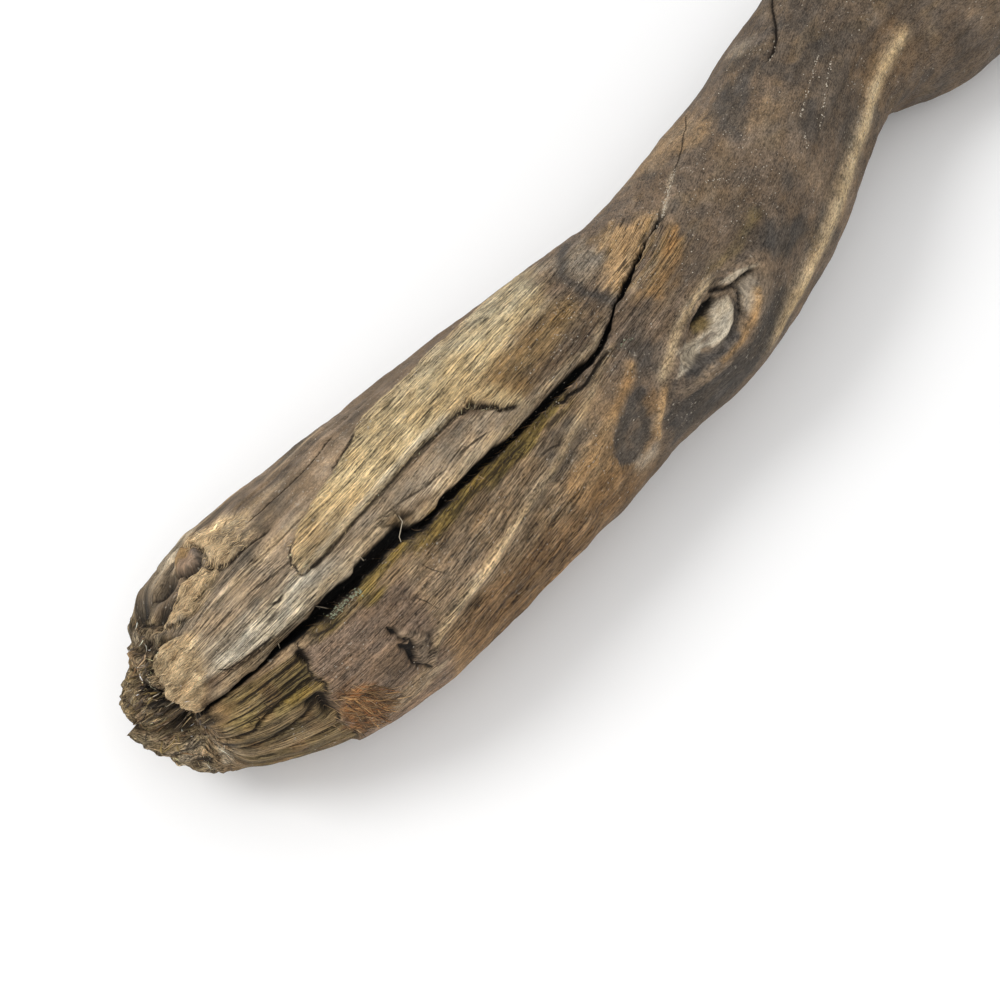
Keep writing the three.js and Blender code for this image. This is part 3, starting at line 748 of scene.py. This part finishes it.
# painted shade in the holes between the planks
brush(gapHoles, 'paintedShadow', 0.9)
rustPatch = patch([(50, 62), (55, 60), (59, 66), (60.5, 76), (58, 86), (52, 92), (48, 90), (48, 76)], 3,
    2.5, 96)
brush(rustPatch, 'rust', 0.75)
brush(rustPatch * spots(2, 106, -0.1, 0.4), 'darkStainAndShade', 0.4)
brush(flakeBlock, 'oldSkin', 0.8)
# painted shadow along the flake's torn edge, fainter along the line behind it
brush(ease((0.75 - flake) / 0.4), 'paintedShadow', 0.85)
brush(bell(flakeBack, 0.4), 'darkStainAndShade', 0.45)
# rotted end
brush(rotten, 'beige', 0.85)
brush(rotten * ease((radialStreak - 0.2) / 0.4), 'darkStainAndShade', 0.6)
brush(rotten * spots(5, 59, 0.1, 0.3), 'plankPale', 0.5)
brush(under(along, 22, 8) * under(turn, 20, 20) * spots(6, 117, -0.3, 0.4), 'olive', 0.5)
# painted shade in the hollows between the torn layers and between the fibre bundles
brush(under(along, 20, 8) * ease((-0.25 - girdles) / 0.25), 'darkStainAndShade', 0.65)
brush(rotten * ease((-0.45 - bundles) / 0.4), 'darkStainAndShade', 0.6)
brush(rotten * under(along, -3, 3), 'ridge', 0.45)
brush(under(along, 16, 8) * spots(3.2, 124, -0.25, 0.4), 'tan', 0.5)
brush(raggedRim, 'ridge', 0.4)
brush(under(along, 28, 8) * under(turn, -10, 12) * spots(3.6, 125, -0.1, 0.3), 'ridge', 0.6)
# painted shade in the cavity ring between its ribs
brush(cavityRing * (1 - ribs), 'paintedShadow', 0.8)
brush(cavityRing * ribs, 'beige', 0.5)
brush(bandOfBark, 'beige', 0.85)
# painted shadow below the felt's edge
brush(shadeUnderFelt, 'darkStainAndShade', 0.7)
brush(feltMask * np.where(along > 40, 0.75, 1) * ease(0.8 + 0.5 * lumps(4, 47)), 'feltBase')
brush(feltMask * spots(3, 46, 0.15, 0.3), 'orangeTan', 0.45)
brush(np.exp(-(((along - 18) / 3) ** 2 + ((turn - 35) / 7) ** 2)), 'redBrown', 0.7)
# painted shade in the hollows between the rim's layers; the raised layers are painted paler
brush(raggedRim * ease((0.1 - rimLayers) / 0.3), 'darkStainAndShade', 0.45)
brush(raggedRim * ease((rimLayers - 0.1) / 0.3), 'plankPale', 0.5)
brush(knob, 'mauve', 0.75)
brush(knob * spots(2.6, 118, 0.1, 0.3), 'slate', 0.6)
brush(knob * ease((-turn - 46) / 4 + 0.5), 'amber', 0.8)
brush(knobShadow, 'paintedShadow', 0.9)
brush(splinter, 'plank', 0.9)
# painted shade: a soft brown shadow below the torn edge of the tongue
stain([(126, -5), (131, -4), (133, 1), (128, 2)], 2, 0.6, 45, 'umber', 0.7)
stain([(53, 22), (60, 20.5), (60, 25), (54, 26)], 2, 0.6, 44, 'redBrown', 0.8)
brush(np.exp(-(((along - 70) / 14) ** 2 + ((turn + 4) / 6) ** 2)) * tongueMask, 'orangeTan', 0.5)
# painted shade in the hollows of the rotted end
brush(holeOfEnd, 'darkStainAndShade', 0.9)
# lines and gap: painted shade along the plank line, under the torn edge, in the second and far cracks and
# inside the main crack's gap, and a band of painted shade at the crack's upper lip near the rotted end
brush(lineOn(plankLine, 0.5), 'darkStainAndShade', 0.6)
brush(bell(tornEdge, 1.0) * (1 - raised), 'paintedShadow', 0.9)
brush(lineOn(secondCrack, 0.6), 'paintedShadow', 0.9)
brush(lineOn(farCrack, 0.6), 'paintedShadow', 0.9)
brush(openHere * (np.abs(inGap) < 0.99), 'paintedShadow', 0.97)
brush(openHere * bell(toUpper, 1.5) * between(14, 60, 8), 'darkStainAndShade', 0.5)

worn = np.clip(oldSkin + 0.5 * planks + rotten + raggedRim, 0, 1)
shade = 1 + 0.12 * lumps(7, 97) + 0.10 * lumps(2.4, 98)
shade = shade + 0.16 * fibrous * midStreak + 0.14 * fibrous * fineStreak
shade += worn * (0.26 * streaks(18, 2.6, 99) + 0.16 * streaks(9, 1.1, 100) + 0.14 * lumps(4, 104))
paint = np.clip(paint * shade[..., None], 0.01, 1)
skinMask = np.maximum(over(along, 140, 40), 0.7 * over(turn, 30, 6) * over(along, 47, 3))
skinMask *= (1 - 0.6 * hollow) * (1 - mossWall) * (1 - 0.8 * wedges)
# masks for fibre, felt and skin; the fourth channel says where shade is painted under raised edges and
# where their step is bumped
masks = np.stack([np.maximum(fibrous, 0.75 * wedges) * (1 - 0.6 * heart)
    * (1 - 0.8 * ease((knobIn + 2) / 2)), np.clip(0.5 * feltMask + 0.9 * rotten * (1 - feltMask), 0, 1),
    skinMask, edgePresence], -1)
print("paint laid")

# the piece
bpy.ops.object.select_all(action='DESELECT')
bpy.ops.mesh.primitive_grid_add(x_subdivisions=rows - 1, y_subdivisions=cols - 1, size=2)
skin = bpy.context.object
skin.name = skin.data.name = "driftwoodSkin"
flat = np.zeros(len(skin.data.vertices) * 3)
skin.data.vertices.foreach_get("co", flat)
flat = flat.reshape(-1, 3)
rowOf = np.rint((flat[:, 0] + 1) / 2 * (rows - 1)).astype(int)
colOf = np.rint((flat[:, 1] + 1) / 2 * (cols - 1)).astype(int)
skin.data.vertices.foreach_set("co", (place[rowOf, colOf] * mm).ravel())
for name, values in (("grain", grain), ("edges", edges)):
    layer = skin.data.attributes.new(name, 'FLOAT_VECTOR', 'POINT')
    layer.data.foreach_set("vector", values[rowOf, colOf].ravel())
for name, values in (("paint", withAlpha(linearOf(paint))), ("wearAndEdgeShade", masks)):
    layer = skin.data.attributes.new(name, 'FLOAT_COLOR', 'POINT')
    layer.data.foreach_set("color", values[rowOf, colOf].ravel())
selectOnly(skin)
bpy.ops.object.mode_set(mode='EDIT')
bpy.ops.mesh.select_all(action='SELECT')
bpy.ops.mesh.remove_doubles(threshold=0.0005 * mm)  # the seam and the two ends close
bpy.ops.mesh.normals_make_consistent(inside=False)
bpy.ops.object.mode_set(mode='OBJECT')
bpy.ops.object.shade_smooth()
print("skin built", len(skin.data.polygons), "faces")

# material of the wood
# the darkest of these colours is the near-black of painted shade in cracks, checks, holes and under edges
driftwoodSkin = {'tone': 1.03, 'darkestTone': 0.16, 'roughness': (0.72, 0.92), 'specular': 0.22,
    'bump': 0.9, 'bumpDepth': 0.001, 'recessShadeColour': (0.02, 0.014, 0.009, 1),
    'blotColour': (0.045, 0.034, 0.026, 1), 'speckColour': (0.5, 0.44, 0.35, 1)}
coat = bpy.data.materials.new("weatheredWood")
coat.use_nodes = True
nodes, links = coat.node_tree.nodes, coat.node_tree.links
nodes.clear()


def node(kind, **settings):
    made = nodes.new(kind)
    for key, value in settings.items():
        if key in made.inputs:
            made.inputs[key].default_value = value
        else:
            setattr(made, key, value)
    return made


def feed(target, socket, source):
    if isinstance(source, (int, float)):
        target.inputs[socket].default_value = source
    else:
        links.new(source, target.inputs[socket])


def maths(operation, a, b=0.5, clamp=False):
    made = node('ShaderNodeMath', operation=operation, use_clamp=clamp)
    feed(made, 0, a)
    feed(made, 1, b)
    return made.outputs[0]


def times(a, b, clamp=False):
    return maths('MULTIPLY', a, b, clamp)


def plus(a, b):
    return maths('ADD', a, b)


def remap(value, low, high, toLow=0.0, toHigh=1.0):
    made = node('ShaderNodeMapRange', interpolation_type='SMOOTHSTEP')
    feed(made, 'Value', value)
    feed(made, 'From Min', low)
    feed(made, 'From Max', high)
    feed(made, 'To Min', toLow)
    feed(made, 'To Max', toHigh)
    return made.outputs['Result']


grainIn = node('ShaderNodeAttribute', attribute_name="grain")
paintIn = node('ShaderNodeAttribute', attribute_name="paint")
wearAndShadeIn = node('ShaderNodeAttribute', attribute_name="wearAndEdgeShade")
wearParts = node('ShaderNodeSeparateColor')
links.new(wearAndShadeIn.outputs['Color'], wearParts.inputs['Color'])
fibrousIn, feltyIn, skinIn = wearParts.outputs[0], wearParts.outputs[1], wearParts.outputs[2]


def noise(longSize, wideSize, detail=3.0, roughness=0.55, distortion=0.0):
    stretch = node('ShaderNodeMapping', vector_type='POINT')
    stretch.inputs['Scale'].default_value = (1 / longSize, 1 / wideSize, 1 / wideSize)
    links.new(grainIn.outputs['Vector'], stretch.inputs['Vector'])
    made = node('ShaderNodeTexNoise', Scale=1.0, Detail=detail, Roughness=roughness, Distortion=distortion)
    links.new(stretch.outputs['Vector'], made.inputs['Vector'])
    return made.outputs['Fac']


def multiplyColour(colour, factor):
    made = node('ShaderNodeMix', data_type='RGBA', blend_type='MULTIPLY')
    made.inputs['Factor'].default_value = 1.0
    links.new(colour, made.inputs['A'])
    grey = node('ShaderNodeCombineColor')
    for socket in ('Red', 'Green', 'Blue'):
        feed(grey, socket, factor)
    links.new(grey.outputs['Color'], made.inputs['B'])
    return made.outputs['Result']


def mixColour(amount, a, b):
    made = node('ShaderNodeMix', data_type='RGBA')
    feed(made, 'Factor', amount)
    links.new(a, made.inputs['A'])
    if isinstance(b, tuple):
        made.inputs['B'].default_value = b
    else:
        links.new(b, made.inputs['B'])
    return made.outputs['Result']


edgesIn = node('ShaderNodeAttribute', attribute_name="edges")
edgeParts = node('ShaderNodeSeparateXYZ')
links.new(edgesIn.outputs['Vector'], edgeParts.inputs['Vector'])

hairNoise = remap(noise(4.5, 0.22, 2, 0.6), 0.4, 0.6)         # the finest fibres
fibreNoise = remap(noise(12, 0.38, 3, 0.6), 0.38, 0.62)      # single fibres
strandNoise = remap(noise(28, 1.15, 4, 0.62), 0.34, 0.66)      # strands of them
mottle = remap(noise(3.4, 2.8, 8, 0.74, 0.3), 0.36, 0.64)    # stains in the skin
grit = remap(noise(0.9, 0.4, 3, 0.7), 0.37, 0.63)             # fine grit
tangle = remap(noise(1.3, 0.36, 3, 0.65, 1.2), 0.36, 0.64)    # matted fibres
specks = remap(noise(1.0, 0.8, 1, 0.5), 0.68, 0.74)           # light specks
pits = remap(noise(1.7, 0.7, 3, 0.6), 0.55, 0.62)             # holes between matted fibres
checkNoise = noise(10, 0.6, 2, 0.5)                       # short drying checks
hue = remap(noise(9, 5, 4, 0.6), 0.3, 0.7)
blots = noise(3.0, 1.8, 6, 0.7, 0.8)


def swing(value, amount):
    return times(maths('SUBTRACT', value, 0.5), amount)


tone = driftwoodSkin['tone']
for pattern, wearPart, least, most in ((fibreNoise, fibrousIn, 0.1, 0.84),
        (strandNoise, fibrousIn, 0.18, 0.46), (hairNoise, fibrousIn, 0.12, 0.9),
        (mottle, skinIn, 0.25, 0.5), (grit, skinIn, 0.55, 0.8), (tangle, feltyIn, 0.0, 1.3)):
    tone = plus(swing(pattern, remap(wearPart, 0, 1, least, most)), tone)
tone = maths('MAXIMUM', tone, driftwoodSkin['darkestTone'])
# short drying checks, their insides painted dark as shade
checks = times(remap(checkNoise, 0.355, 0.325), remap(fibrousIn, 0.2, 0.7), clamp=True)
jitter = swing(noise(1.6, 0.5, 3, 0.7), 1.5)
edgeDistance = plus(edgeParts.outputs['X'], jitter)
# painted shade in a narrow band just outside raised edges
shadeUnderEdge = times(remap(edgeDistance, -1.0, -0.35), remap(edgeDistance, 0.05, -0.15))
shadeUnderEdge = times(shadeUnderEdge, wearAndShadeIn.outputs['Alpha'], clamp=True)
# thin lines of painted shade along cracks and grooves
lineDistance = maths('ABSOLUTE', plus(edgeParts.outputs['Y'], times(jitter, 0.5)), 0)
crackLineShade = times(remap(lineDistance, 0.42, 0.12), edgeParts.outputs['Z'], clamp=True)
blotDark = times(remap(blots, 0.57, 0.68), remap(skinIn, 0, 1, 0.15, 0.6))

colour = multiplyColour(paintIn.outputs['Color'], tone)
tint = node('ShaderNodeMix', data_type='RGBA')
feed(tint, 'Factor', hue)
tint.inputs['A'].default_value = (0.96, 1.0, 1.05, 1)
tint.inputs['B'].default_value = (1.05, 1.0, 0.92, 1)
tinted = node('ShaderNodeMix', data_type='RGBA', blend_type='MULTIPLY')
tinted.inputs['Factor'].default_value = 1.0
links.new(colour, tinted.inputs['A'])
links.new(tint.outputs['Result'], tinted.inputs['B'])
colour = mixColour(blotDark, tinted.outputs['Result'], driftwoodSkin['blotColour'])
colour = mixColour(times(specks, remap(noise(16, 13, 2, 0.5), 0.47, 0.6, 0.04, 0.6)), colour,
    driftwoodSkin['speckColour'])
# painted shade in the holes between matted fibres
colour = mixColour(times(pits, remap(feltyIn, 0, 1, 0.0, 0.75)), colour, driftwoodSkin['recessShadeColour'])
# all the painted shade above, mixed towards near-black
shadeMarks = maths('MAXIMUM', maths('MAXIMUM', times(checks, 0.7), times(shadeUnderEdge, 0.9)), times(crackLineShade, 0.92))
colour = mixColour(shadeMarks, colour, driftwoodSkin['recessShadeColour'])
roughness = remap(mottle, 0.0, 1.0, *driftwoodSkin['roughness'])

heights = plus(times(mottle, 0.16), times(grit, 0.08))
for pattern, wearPart, least, most in ((fibreNoise, fibrousIn, 0.05, 0.22),
        (strandNoise, fibrousIn, 0.1, 0.4), (tangle, feltyIn, 0.0, 0.45)):
    heights = plus(heights, times(pattern, remap(wearPart, 0, 1, least, most)))
heights = maths('SUBTRACT', heights, times(maths('MAXIMUM', checks, crackLineShade), 0.6))
heights = plus(heights, times(times(remap(edgeDistance, -0.2, 0.2), wearAndShadeIn.outputs['Alpha']), 0.9))
bump = node('ShaderNodeBump', Strength=driftwoodSkin['bump'], Distance=driftwoodSkin['bumpDepth'])
links.new(heights, bump.inputs['Height'])
shader = node('ShaderNodeBsdfPrincipled')
shader.inputs['Specular IOR Level'].default_value = driftwoodSkin['specular']
links.new(colour, shader.inputs['Base Color'])
links.new(roughness, shader.inputs['Roughness'])
links.new(bump.outputs['Normal'], shader.inputs['Normal'])
output = node('ShaderNodeOutputMaterial')
links.new(shader.outputs['BSDF'], output.inputs['Surface'])
skin.data.materials.clear()
skin.data.materials.append(coat)
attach(skin, "root")
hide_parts("driftwood")
print("wood painted")

# loose fibres, frayed from the wood
bpy.ops.object.select_all(action='DESELECT')
bpy.ops.mesh.primitive_cylinder_add(vertices=3, radius=1, depth=1, end_fill_type='NGON',
    rotation=(0, math.pi / 2, 0))
strand = bpy.context.object
bpy.ops.object.transform_apply(location=False, rotation=True, scale=False)
selectOnly(strand)
bpy.ops.object.mode_set(mode='EDIT')
bpy.ops.mesh.select_all(action='SELECT')
for height in (-0.3, -0.1, 0.1, 0.3):
    bpy.ops.mesh.select_all(action='SELECT')
    bpy.ops.mesh.bisect(plane_co=(height, 0, 0), plane_no=(1, 0, 0))
bpy.ops.object.mode_set(mode='OBJECT')
strandPoints = np.array([v.co[:] for v in strand.data.vertices])
strandFaces = [list(p.vertices) for p in strand.data.polygons]
bpy.data.objects.remove(strand)
strandStations = 6
# the station of each point
stationOf = np.rint((strandPoints[:, 0] + 0.5) * (strandStations - 1)).astype(int)
dice = np.random.default_rng(7)
frayedPoints, frayedFaces, frayedPaint = [], [], []
fibreCoat = bpy.data.materials.new("looseFibre")
fibreCoat.use_nodes = True
fibreIn = fibreCoat.node_tree.nodes.new('ShaderNodeAttribute')
fibreIn.attribute_name = "paint"
fibreCoat.node_tree.links.new(fibreIn.outputs['Color'],
    fibreCoat.node_tree.nodes['Principled BSDF'].inputs['Base Color'])
fibreCoat.node_tree.nodes['Principled BSDF'].inputs['Roughness'].default_value = 0.85
slope = np.cross(np.gradient(place, axis=0), np.roll(place, -1, 1) - np.roll(place, 1, 1))
slope /= np.linalg.norm(slope, axis=-1, keepdims=True) + 1e-9
slope *= np.sign((slope * outward).sum(-1, keepdims=True))


def onSurface(field, alongAt, turnAt):
    # a field of the grid read at any place on the wood
    row = np.interp(alongAt, rowPlace, np.arange(rows))
    half, edge, free = np.interp(alongAt, rowPlace, gapHalf), crackCols * crackStep, gapReach
    lean = (turnAt - np.interp(alongAt, rowPlace, crackMiddle) - colTurn[0]) % 360 + colTurn[0]
    wide = np.abs(lean)
    beside = edge + (wide - half) / (free - half) * (free - edge)
    gathered = np.where(wide < half, wide / half * edge, beside)
    lean = np.where(wide < free, np.sign(lean) * gathered, lean)
    col = np.interp(lean, colTurn, np.arange(cols))
    i, j = np.minimum(row.astype(int), rows - 2), np.minimum(col.astype(int), cols - 2)
    s, t = (row - i)[..., None], (col - j)[..., None]
    return (field[i, j] * (1 - s) + field[i + 1, j] * s) * (1 - t) + (field[i, j + 1] * (1 - s)
        + field[i + 1, j + 1] * s) * t


def layStrands(path, normal, radius, tone):
    # path and normal: strand, station, xyz
    tangent = np.gradient(path, axis=1)
    aside = np.cross(normal, tangent)
    aside /= np.linalg.norm(aside, axis=-1, keepdims=True) + 1e-9
    taper = (1.05 - np.linspace(0, 1, strandStations) ** 2)[None, :, None] * radius[:, None, None]
    ring = (aside[:, stationOf] * strandPoints[None, :, 1:2] + normal[:, stationOf]
        * strandPoints[None, :, 2:3])
    points = path[:, stationOf] + ring * taper[:, stationOf]
    for k in range(len(points)):
        first = len(frayedPoints) * len(strandPoints)
        frayedPoints.append(points[k])
        frayedFaces.extend([v + first for v in face] for face in strandFaces)
        frayedPaint.append(np.repeat(tone[k][None], len(strandPoints), 0))


def fray(chance, count, long, thick, lift, turnAway, tones, heading=0, light=(0.4, 1.3)):
    # strands that leave the surface where chance is high, mostly along the grain
    weight = (chance * np.cos(fan).clip(0.1)).ravel()
    picks = dice.choice(weight.size, count, p=weight / weight.sum())
    i, j = picks // cols, picks % cols
    s = np.linspace(0, 1, strandStations)[None, :]

    def roll(low, high):
        return dice.uniform(low, high, count)[:, None]

    spin, size, curl = np.radians(heading + roll(-turnAway, turnAway)), roll(*long), roll(-0.25, 0.25)
    alongAt = along[i, j][:, None] - size * np.cos(spin) * s + roll(-0.5, 0.5)
    turnAt = turn[i, j][:, None] + size * (np.sin(spin) * s + curl * s ** 2) / spread + roll(-0.6, 0.6)
    normal = onSurface(slope, alongAt, turnAt)
    rise = roll(*lift) * size * s * (1 - roll(0, 0.7) * s) - 0.2
    path = onSurface(place, alongAt, turnAt) + normal * rise[..., None]
    tone = np.array([wood[tones[k]] for k in dice.integers(0, len(tones), count)]) * roll(*light)
    layStrands(path, normal, dice.uniform(*thick, count), tone)


def strandPiece(name):
    # all the strands laid so far become one piece
    data = bpy.data.meshes.new(name)
    data.from_pydata((np.concatenate(frayedPoints) * mm).tolist(), [], frayedFaces)
    piece = bpy.data.objects.new(name, data)
    bpy.context.scene.collection.objects.link(piece)
    tones = np.concatenate(frayedPaint).clip(0, 1)
    layer = data.attributes.new("paint", 'FLOAT_COLOR', 'POINT')
    layer.data.foreach_set("color", withAlpha(linearOf(tones)).ravel())
    selectOnly(piece)
    bpy.ops.object.shade_smooth()
    data.materials.append(fibreCoat)
    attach(piece, "root")
    print(name, len(frayedPoints), "strands")
    for gathered in (frayedPoints, frayedFaces, frayedPaint):
        gathered.clear()


lowEnough = (place[..., 2] > 2.5) * np.ones(turn.shape)  # nothing is frayed where the wood rests
feltFibres = {'felt': {'count': 4300, 'long': (1.1, 3.2), 'thick': (0.05, 0.13), 'lift': (0.05, 0.3),
    'turnAway': 30, 'tones': ('felt', 'felt', 'felt', 'felt', 'orangeTan'), 'light': (0.7, 0.98)},
    'rim': {'count': 1500, 'long': (1.8, 5), 'thick': (0.07, 0.2), 'lift': (0.0, 0.2), 'turnAway': 90,
    'tones': ('beige', 'redBrown', 'oldSkin', 'umber', 'tan', 'felt', 'plankPale'), 'light': (0.5, 1.6)},
    'splinters': {'count': 160, 'long': (4, 9), 'thick': (0.3, 0.55), 'lift': (-0.02, 0.1), 'turnAway': 70,
    'tones': ('beige', 'redBrown', 'oldSkin', 'umber', 'olive')}}
fray(feltMask * (1 - 0.5 * softSide) * (turn < 60), **feltFibres['felt'])
fray(under(along, 20, 8) * lowEnough * (1 - 0.8 * feltMask), **feltFibres['rim'])
fray(under(along, 16, 8) * lowEnough * (1 - feltMask), **feltFibres['splinters'])
strandPiece("feltFibres")
frayedFibres = {
    'rust': {'count': 480, 'long': (2.5, 7), 'thick': (0.08, 0.2), 'lift': (0.03, 0.2), 'turnAway': 32,
             'tones': ('rust', 'orange', 'orange', 'redBrown', 'orangeTan'), 'heading': 128},
    'rustEdge': {'count': 60, 'long': (3, 7), 'thick': (0.1, 0.2), 'lift': (0.02, 0.15), 'turnAway': 30,
                 'tones': ('beige', 'mauve', 'orangeTan'), 'heading': -60},
    'tongue': {'count': 520, 'long': (1.0, 2.8), 'thick': (0.06, 0.15), 'lift': (0.0, 0.2), 'turnAway': 40,
               'tones': ('tan', 'felt', 'tanPale')},
    'panel': {'count': 70, 'long': (1.2, 3.0), 'thick': (0.07, 0.16), 'lift': (0.0, 0.25), 'turnAway': 60,
              'tones': ('mauve', 'umber', 'beige')},
    'lip': {'count': 420, 'long': (1.0, 3.2), 'thick': (0.06, 0.16), 'lift': (0.0, 0.3), 'turnAway': 70,
            'tones': ('beige', 'moss', 'umber', 'amber')},
    # threads that hang across the crack: (along, turn, mm above the surface) of their ends and a middle
    'threads': (((61, 26.6, 0), (52, 27.2, 9.5), (44, 28.8, 8)),
                ((61, 27.4, 0), (54, 28.4, 9), (46, 29.4, 8)),
                ((43.6, 26.2, 0), (43.4, 28, 9), (42.6, 29.4, 8)),
                ((72, 20.6, 9), (73.5, 22.5, 9), (75, 23.6, 6)),
                ((75, 21, 9), (76.4, 22.6, 9), (77.4, 24, 5)), ((86, 16, 7), (88, 19, 8), (90, 22, 6))),
    'threadRadius': 0.14, 'threadTone': 'plankPale'}
fray(rustPatch, **frayedFibres['rust'])
fray(rustPatch * under(along, 54, 3), **frayedFibres['rustEdge'])
tornFringe = bell(tongueEdge - 0.5, 0.5) * between(57, 139, 3) * (turn > -24) * (turn < 9.5)
fray(tornFringe * (1 + 2 * between(56, 66, 3) + 3 * between(126, 139, 3)), **frayedFibres['tongue'])
panelFringe = bell(beyondPanel, 0.6) * over(turn, 34, 3) * under(turn, 100, 10)
fray(panelFringe, **frayedFibres['panel'])
lipFringe = openHere * lowerSide * bell(toLower, 1.5) * between(52, 160, 6)
fray(lipFringe, **frayedFibres['lip'])
for threadEnds in frayedFibres['threads']:
    stops = np.array(threadEnds, float)
    bend = np.array([np.interp(np.linspace(0, 2, strandStations), [0, 1, 2], stops[:, k])
        for k in range(3)])
    normal = onSurface(slope, bend[0], bend[1])
    layStrands((onSurface(place, bend[0], bend[1]) + normal * bend[2][:, None])[None], normal[None],
        np.array([frayedFibres['threadRadius']]), np.array([wood[frayedFibres['threadTone']]]))
strandPiece("frayedFibres")

# sand and crumbs of lichen caught in the skin
bpy.ops.object.select_all(action='DESELECT')
bpy.ops.mesh.primitive_ico_sphere_add(subdivisions=1, radius=1)
grainOfSand = bpy.context.object
grainPoints = np.array([v.co[:] for v in grainOfSand.data.vertices])
grainFaces = np.array([p.vertices[:] for p in grainOfSand.data.polygons])
bpy.data.objects.remove(grainOfSand)
sandGrains = {'lineRadius': (0.13, 0.3), 'fieldRadius': (0.09, 0.24), 'lichenRadius': (0.12, 0.34),
    'crumbRadius': (0.1, 0.26), 'sand': (0.50, 0.44, 0.35, 1), 'lichen': (0.24, 0.26, 0.17, 1),
    'lichenGrains': 110, 'crumbs': 16}
sandPlaces = []  # along, turn, radius, tone
for start, end, count in (((274, 28), (289, 18.5), 20), ((289, 18.5), (300, 13.5), 16),
        ((272, 14), (299, 5), 30), ((219, -18), (229, -26), 34), ((229, -26), (238, -32.4), 18),
        ((206, -14), (222, -20), 14), ((264, 27), (268, 21), 8), ((237, -12), (241, -2), 12),
        ((290, -22), (298, -26), 8)):
    for s in dice.uniform(0, 1, count):
        sandPlaces.append((start[0] + (end[0] - start[0]) * s + dice.normal(0, 0.35),
            start[1] + (end[1] - start[1]) * s + dice.normal(0, 0.45),
            dice.uniform(*sandGrains['lineRadius']), 'sand'))
for low, high, count in (((145, -25), (182, 25), 120), ((182, -40), (222, 30), 90),
        ((222, -30), (262, 30), 110), ((60, -55), (150, -20), 60), ((100, 30), (180, 75), 70),
        ((262, -50), (330, 60), 70), ((60, 30), (100, 80), 30)):
    for k in range(count):
        sandPlaces.append((dice.uniform(low[0], high[0]), dice.uniform(low[1], high[1]),
            dice.uniform(*sandGrains['fieldRadius']), 'sand'))
for k in range(sandGrains['lichenGrains']):
    s = dice.uniform(59, 70)
    sandPlaces.append((s, float(np.interp(s, [58, 62, 66, 70], [30, 28.9, 28.2, 28]))
        + dice.normal(0, 0.7), dice.uniform(*sandGrains['lichenRadius']), 'lichen'))
for k in range(sandGrains['crumbs']):
    sandPlaces.append((179 + dice.normal(0, 1.3), 22 + dice.normal(0, 1.5),
        dice.uniform(*sandGrains['crumbRadius']), 'lichen'))
sandSpots = np.array([spot[:3] for spot in sandPlaces])
sandMiddle = onSurface(place, sandSpots[:, 0], sandSpots[:, 1])
sandSize = sandSpots[:, 2:3, None] * dice.uniform(0.7, 1.2, (len(sandSpots), 1, 3))
sandPoints = (sandMiddle[:, None] + grainPoints[None] * sandSize).reshape(-1, 3)
sandFaces = (grainFaces[None] + (np.arange(len(sandSpots)) * len(grainPoints))[:, None, None]).reshape(-1,
    3)
sandData = bpy.data.meshes.new("sandGrains")
sandData.from_pydata((sandPoints * mm).tolist(), [], sandFaces.tolist())
sand = bpy.data.objects.new("sandGrains", sandData)
bpy.context.scene.collection.objects.link(sand)
sandColour = (np.array([sandGrains[spot[3]] for spot in sandPlaces])
    * dice.uniform(0.7, 1.2, (len(sandSpots), 1)))
sandLayer = sandData.attributes.new("paint", 'FLOAT_COLOR', 'POINT')
sandLayer.data.foreach_set("color", np.repeat(sandColour, len(grainPoints), 0).ravel())
sand.data.materials.append(fibreCoat)
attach(sand, "root")
print("sand strewn", len(sandSpots))

# floor, light and camera
bpy.ops.object.select_all(action='DESELECT')
bpy.ops.mesh.primitive_plane_add(size=8, location=(0, 0, 0))
floor = bpy.context.object
floor.name = "studioFloor"
pale = bpy.data.materials.new("paleFloor")
pale.use_nodes = True
pale.node_tree.nodes['Principled BSDF'].inputs['Base Color'].default_value = (0.93, 0.93, 0.93, 1)
pale.node_tree.nodes['Principled BSDF'].inputs['Roughness'].default_value = 0.9
floor.data.materials.append(pale)

world = bpy.data.worlds.new("softRoom")
world.use_nodes = True
world.node_tree.nodes['Background'].inputs['Color'].default_value = (1.0, 1.0, 1.0, 1)
world.node_tree.nodes['Background'].inputs['Strength'].default_value = 0.88
bpy.context.scene.world = world

view = {'aim': (-101.5, -24.8, 35), 'azimuth': -43, 'elevation': 64, 'distance': 0.76, 'lens': 91.2,
    'sensor': 36}
aim = Vector(view['aim']) * mm


def towards(azimuthDegrees, elevationDegrees, away):
    a, e = math.radians(azimuthDegrees), math.radians(elevationDegrees)
    return Vector((math.sin(a) * math.cos(e), -math.cos(a) * math.cos(e), math.sin(e))) * away


def lampAt(name, azimuthDegrees, elevationDegrees, away, size, watts):
    light = bpy.data.lights.new(name, 'AREA')
    light.shape = 'DISK'
    light.size = size
    light.energy = watts
    lamp = bpy.data.objects.new(name, light)
    offset = towards(azimuthDegrees, elevationDegrees, away)
    lamp.location = aim + offset
    lamp.rotation_euler = offset.to_track_quat('Z', 'Y').to_euler()
    bpy.context.scene.collection.objects.link(lamp)
    return lamp


lampAt("keyLight", -130, 52, 1.6, 0.7, 9)
lampAt("fillLight", -30, 62, 1.8, 1.0, 3)

camera = bpy.data.objects.new("viewCamera", bpy.data.cameras.new("viewCamera"))
back = towards(view['azimuth'], view['elevation'], view['distance'])
camera.location = aim + back
camera.rotation_euler = back.to_track_quat('Z', 'Y').to_euler()
camera.data.lens = view['lens']
camera.data.sensor_width = view['sensor']
camera.data.clip_start = 0.01
bpy.context.scene.collection.objects.link(camera)
bpy.context.scene.camera = camera
bpy.context.scene.view_settings.view_transform = 'Standard'
print("stage set")
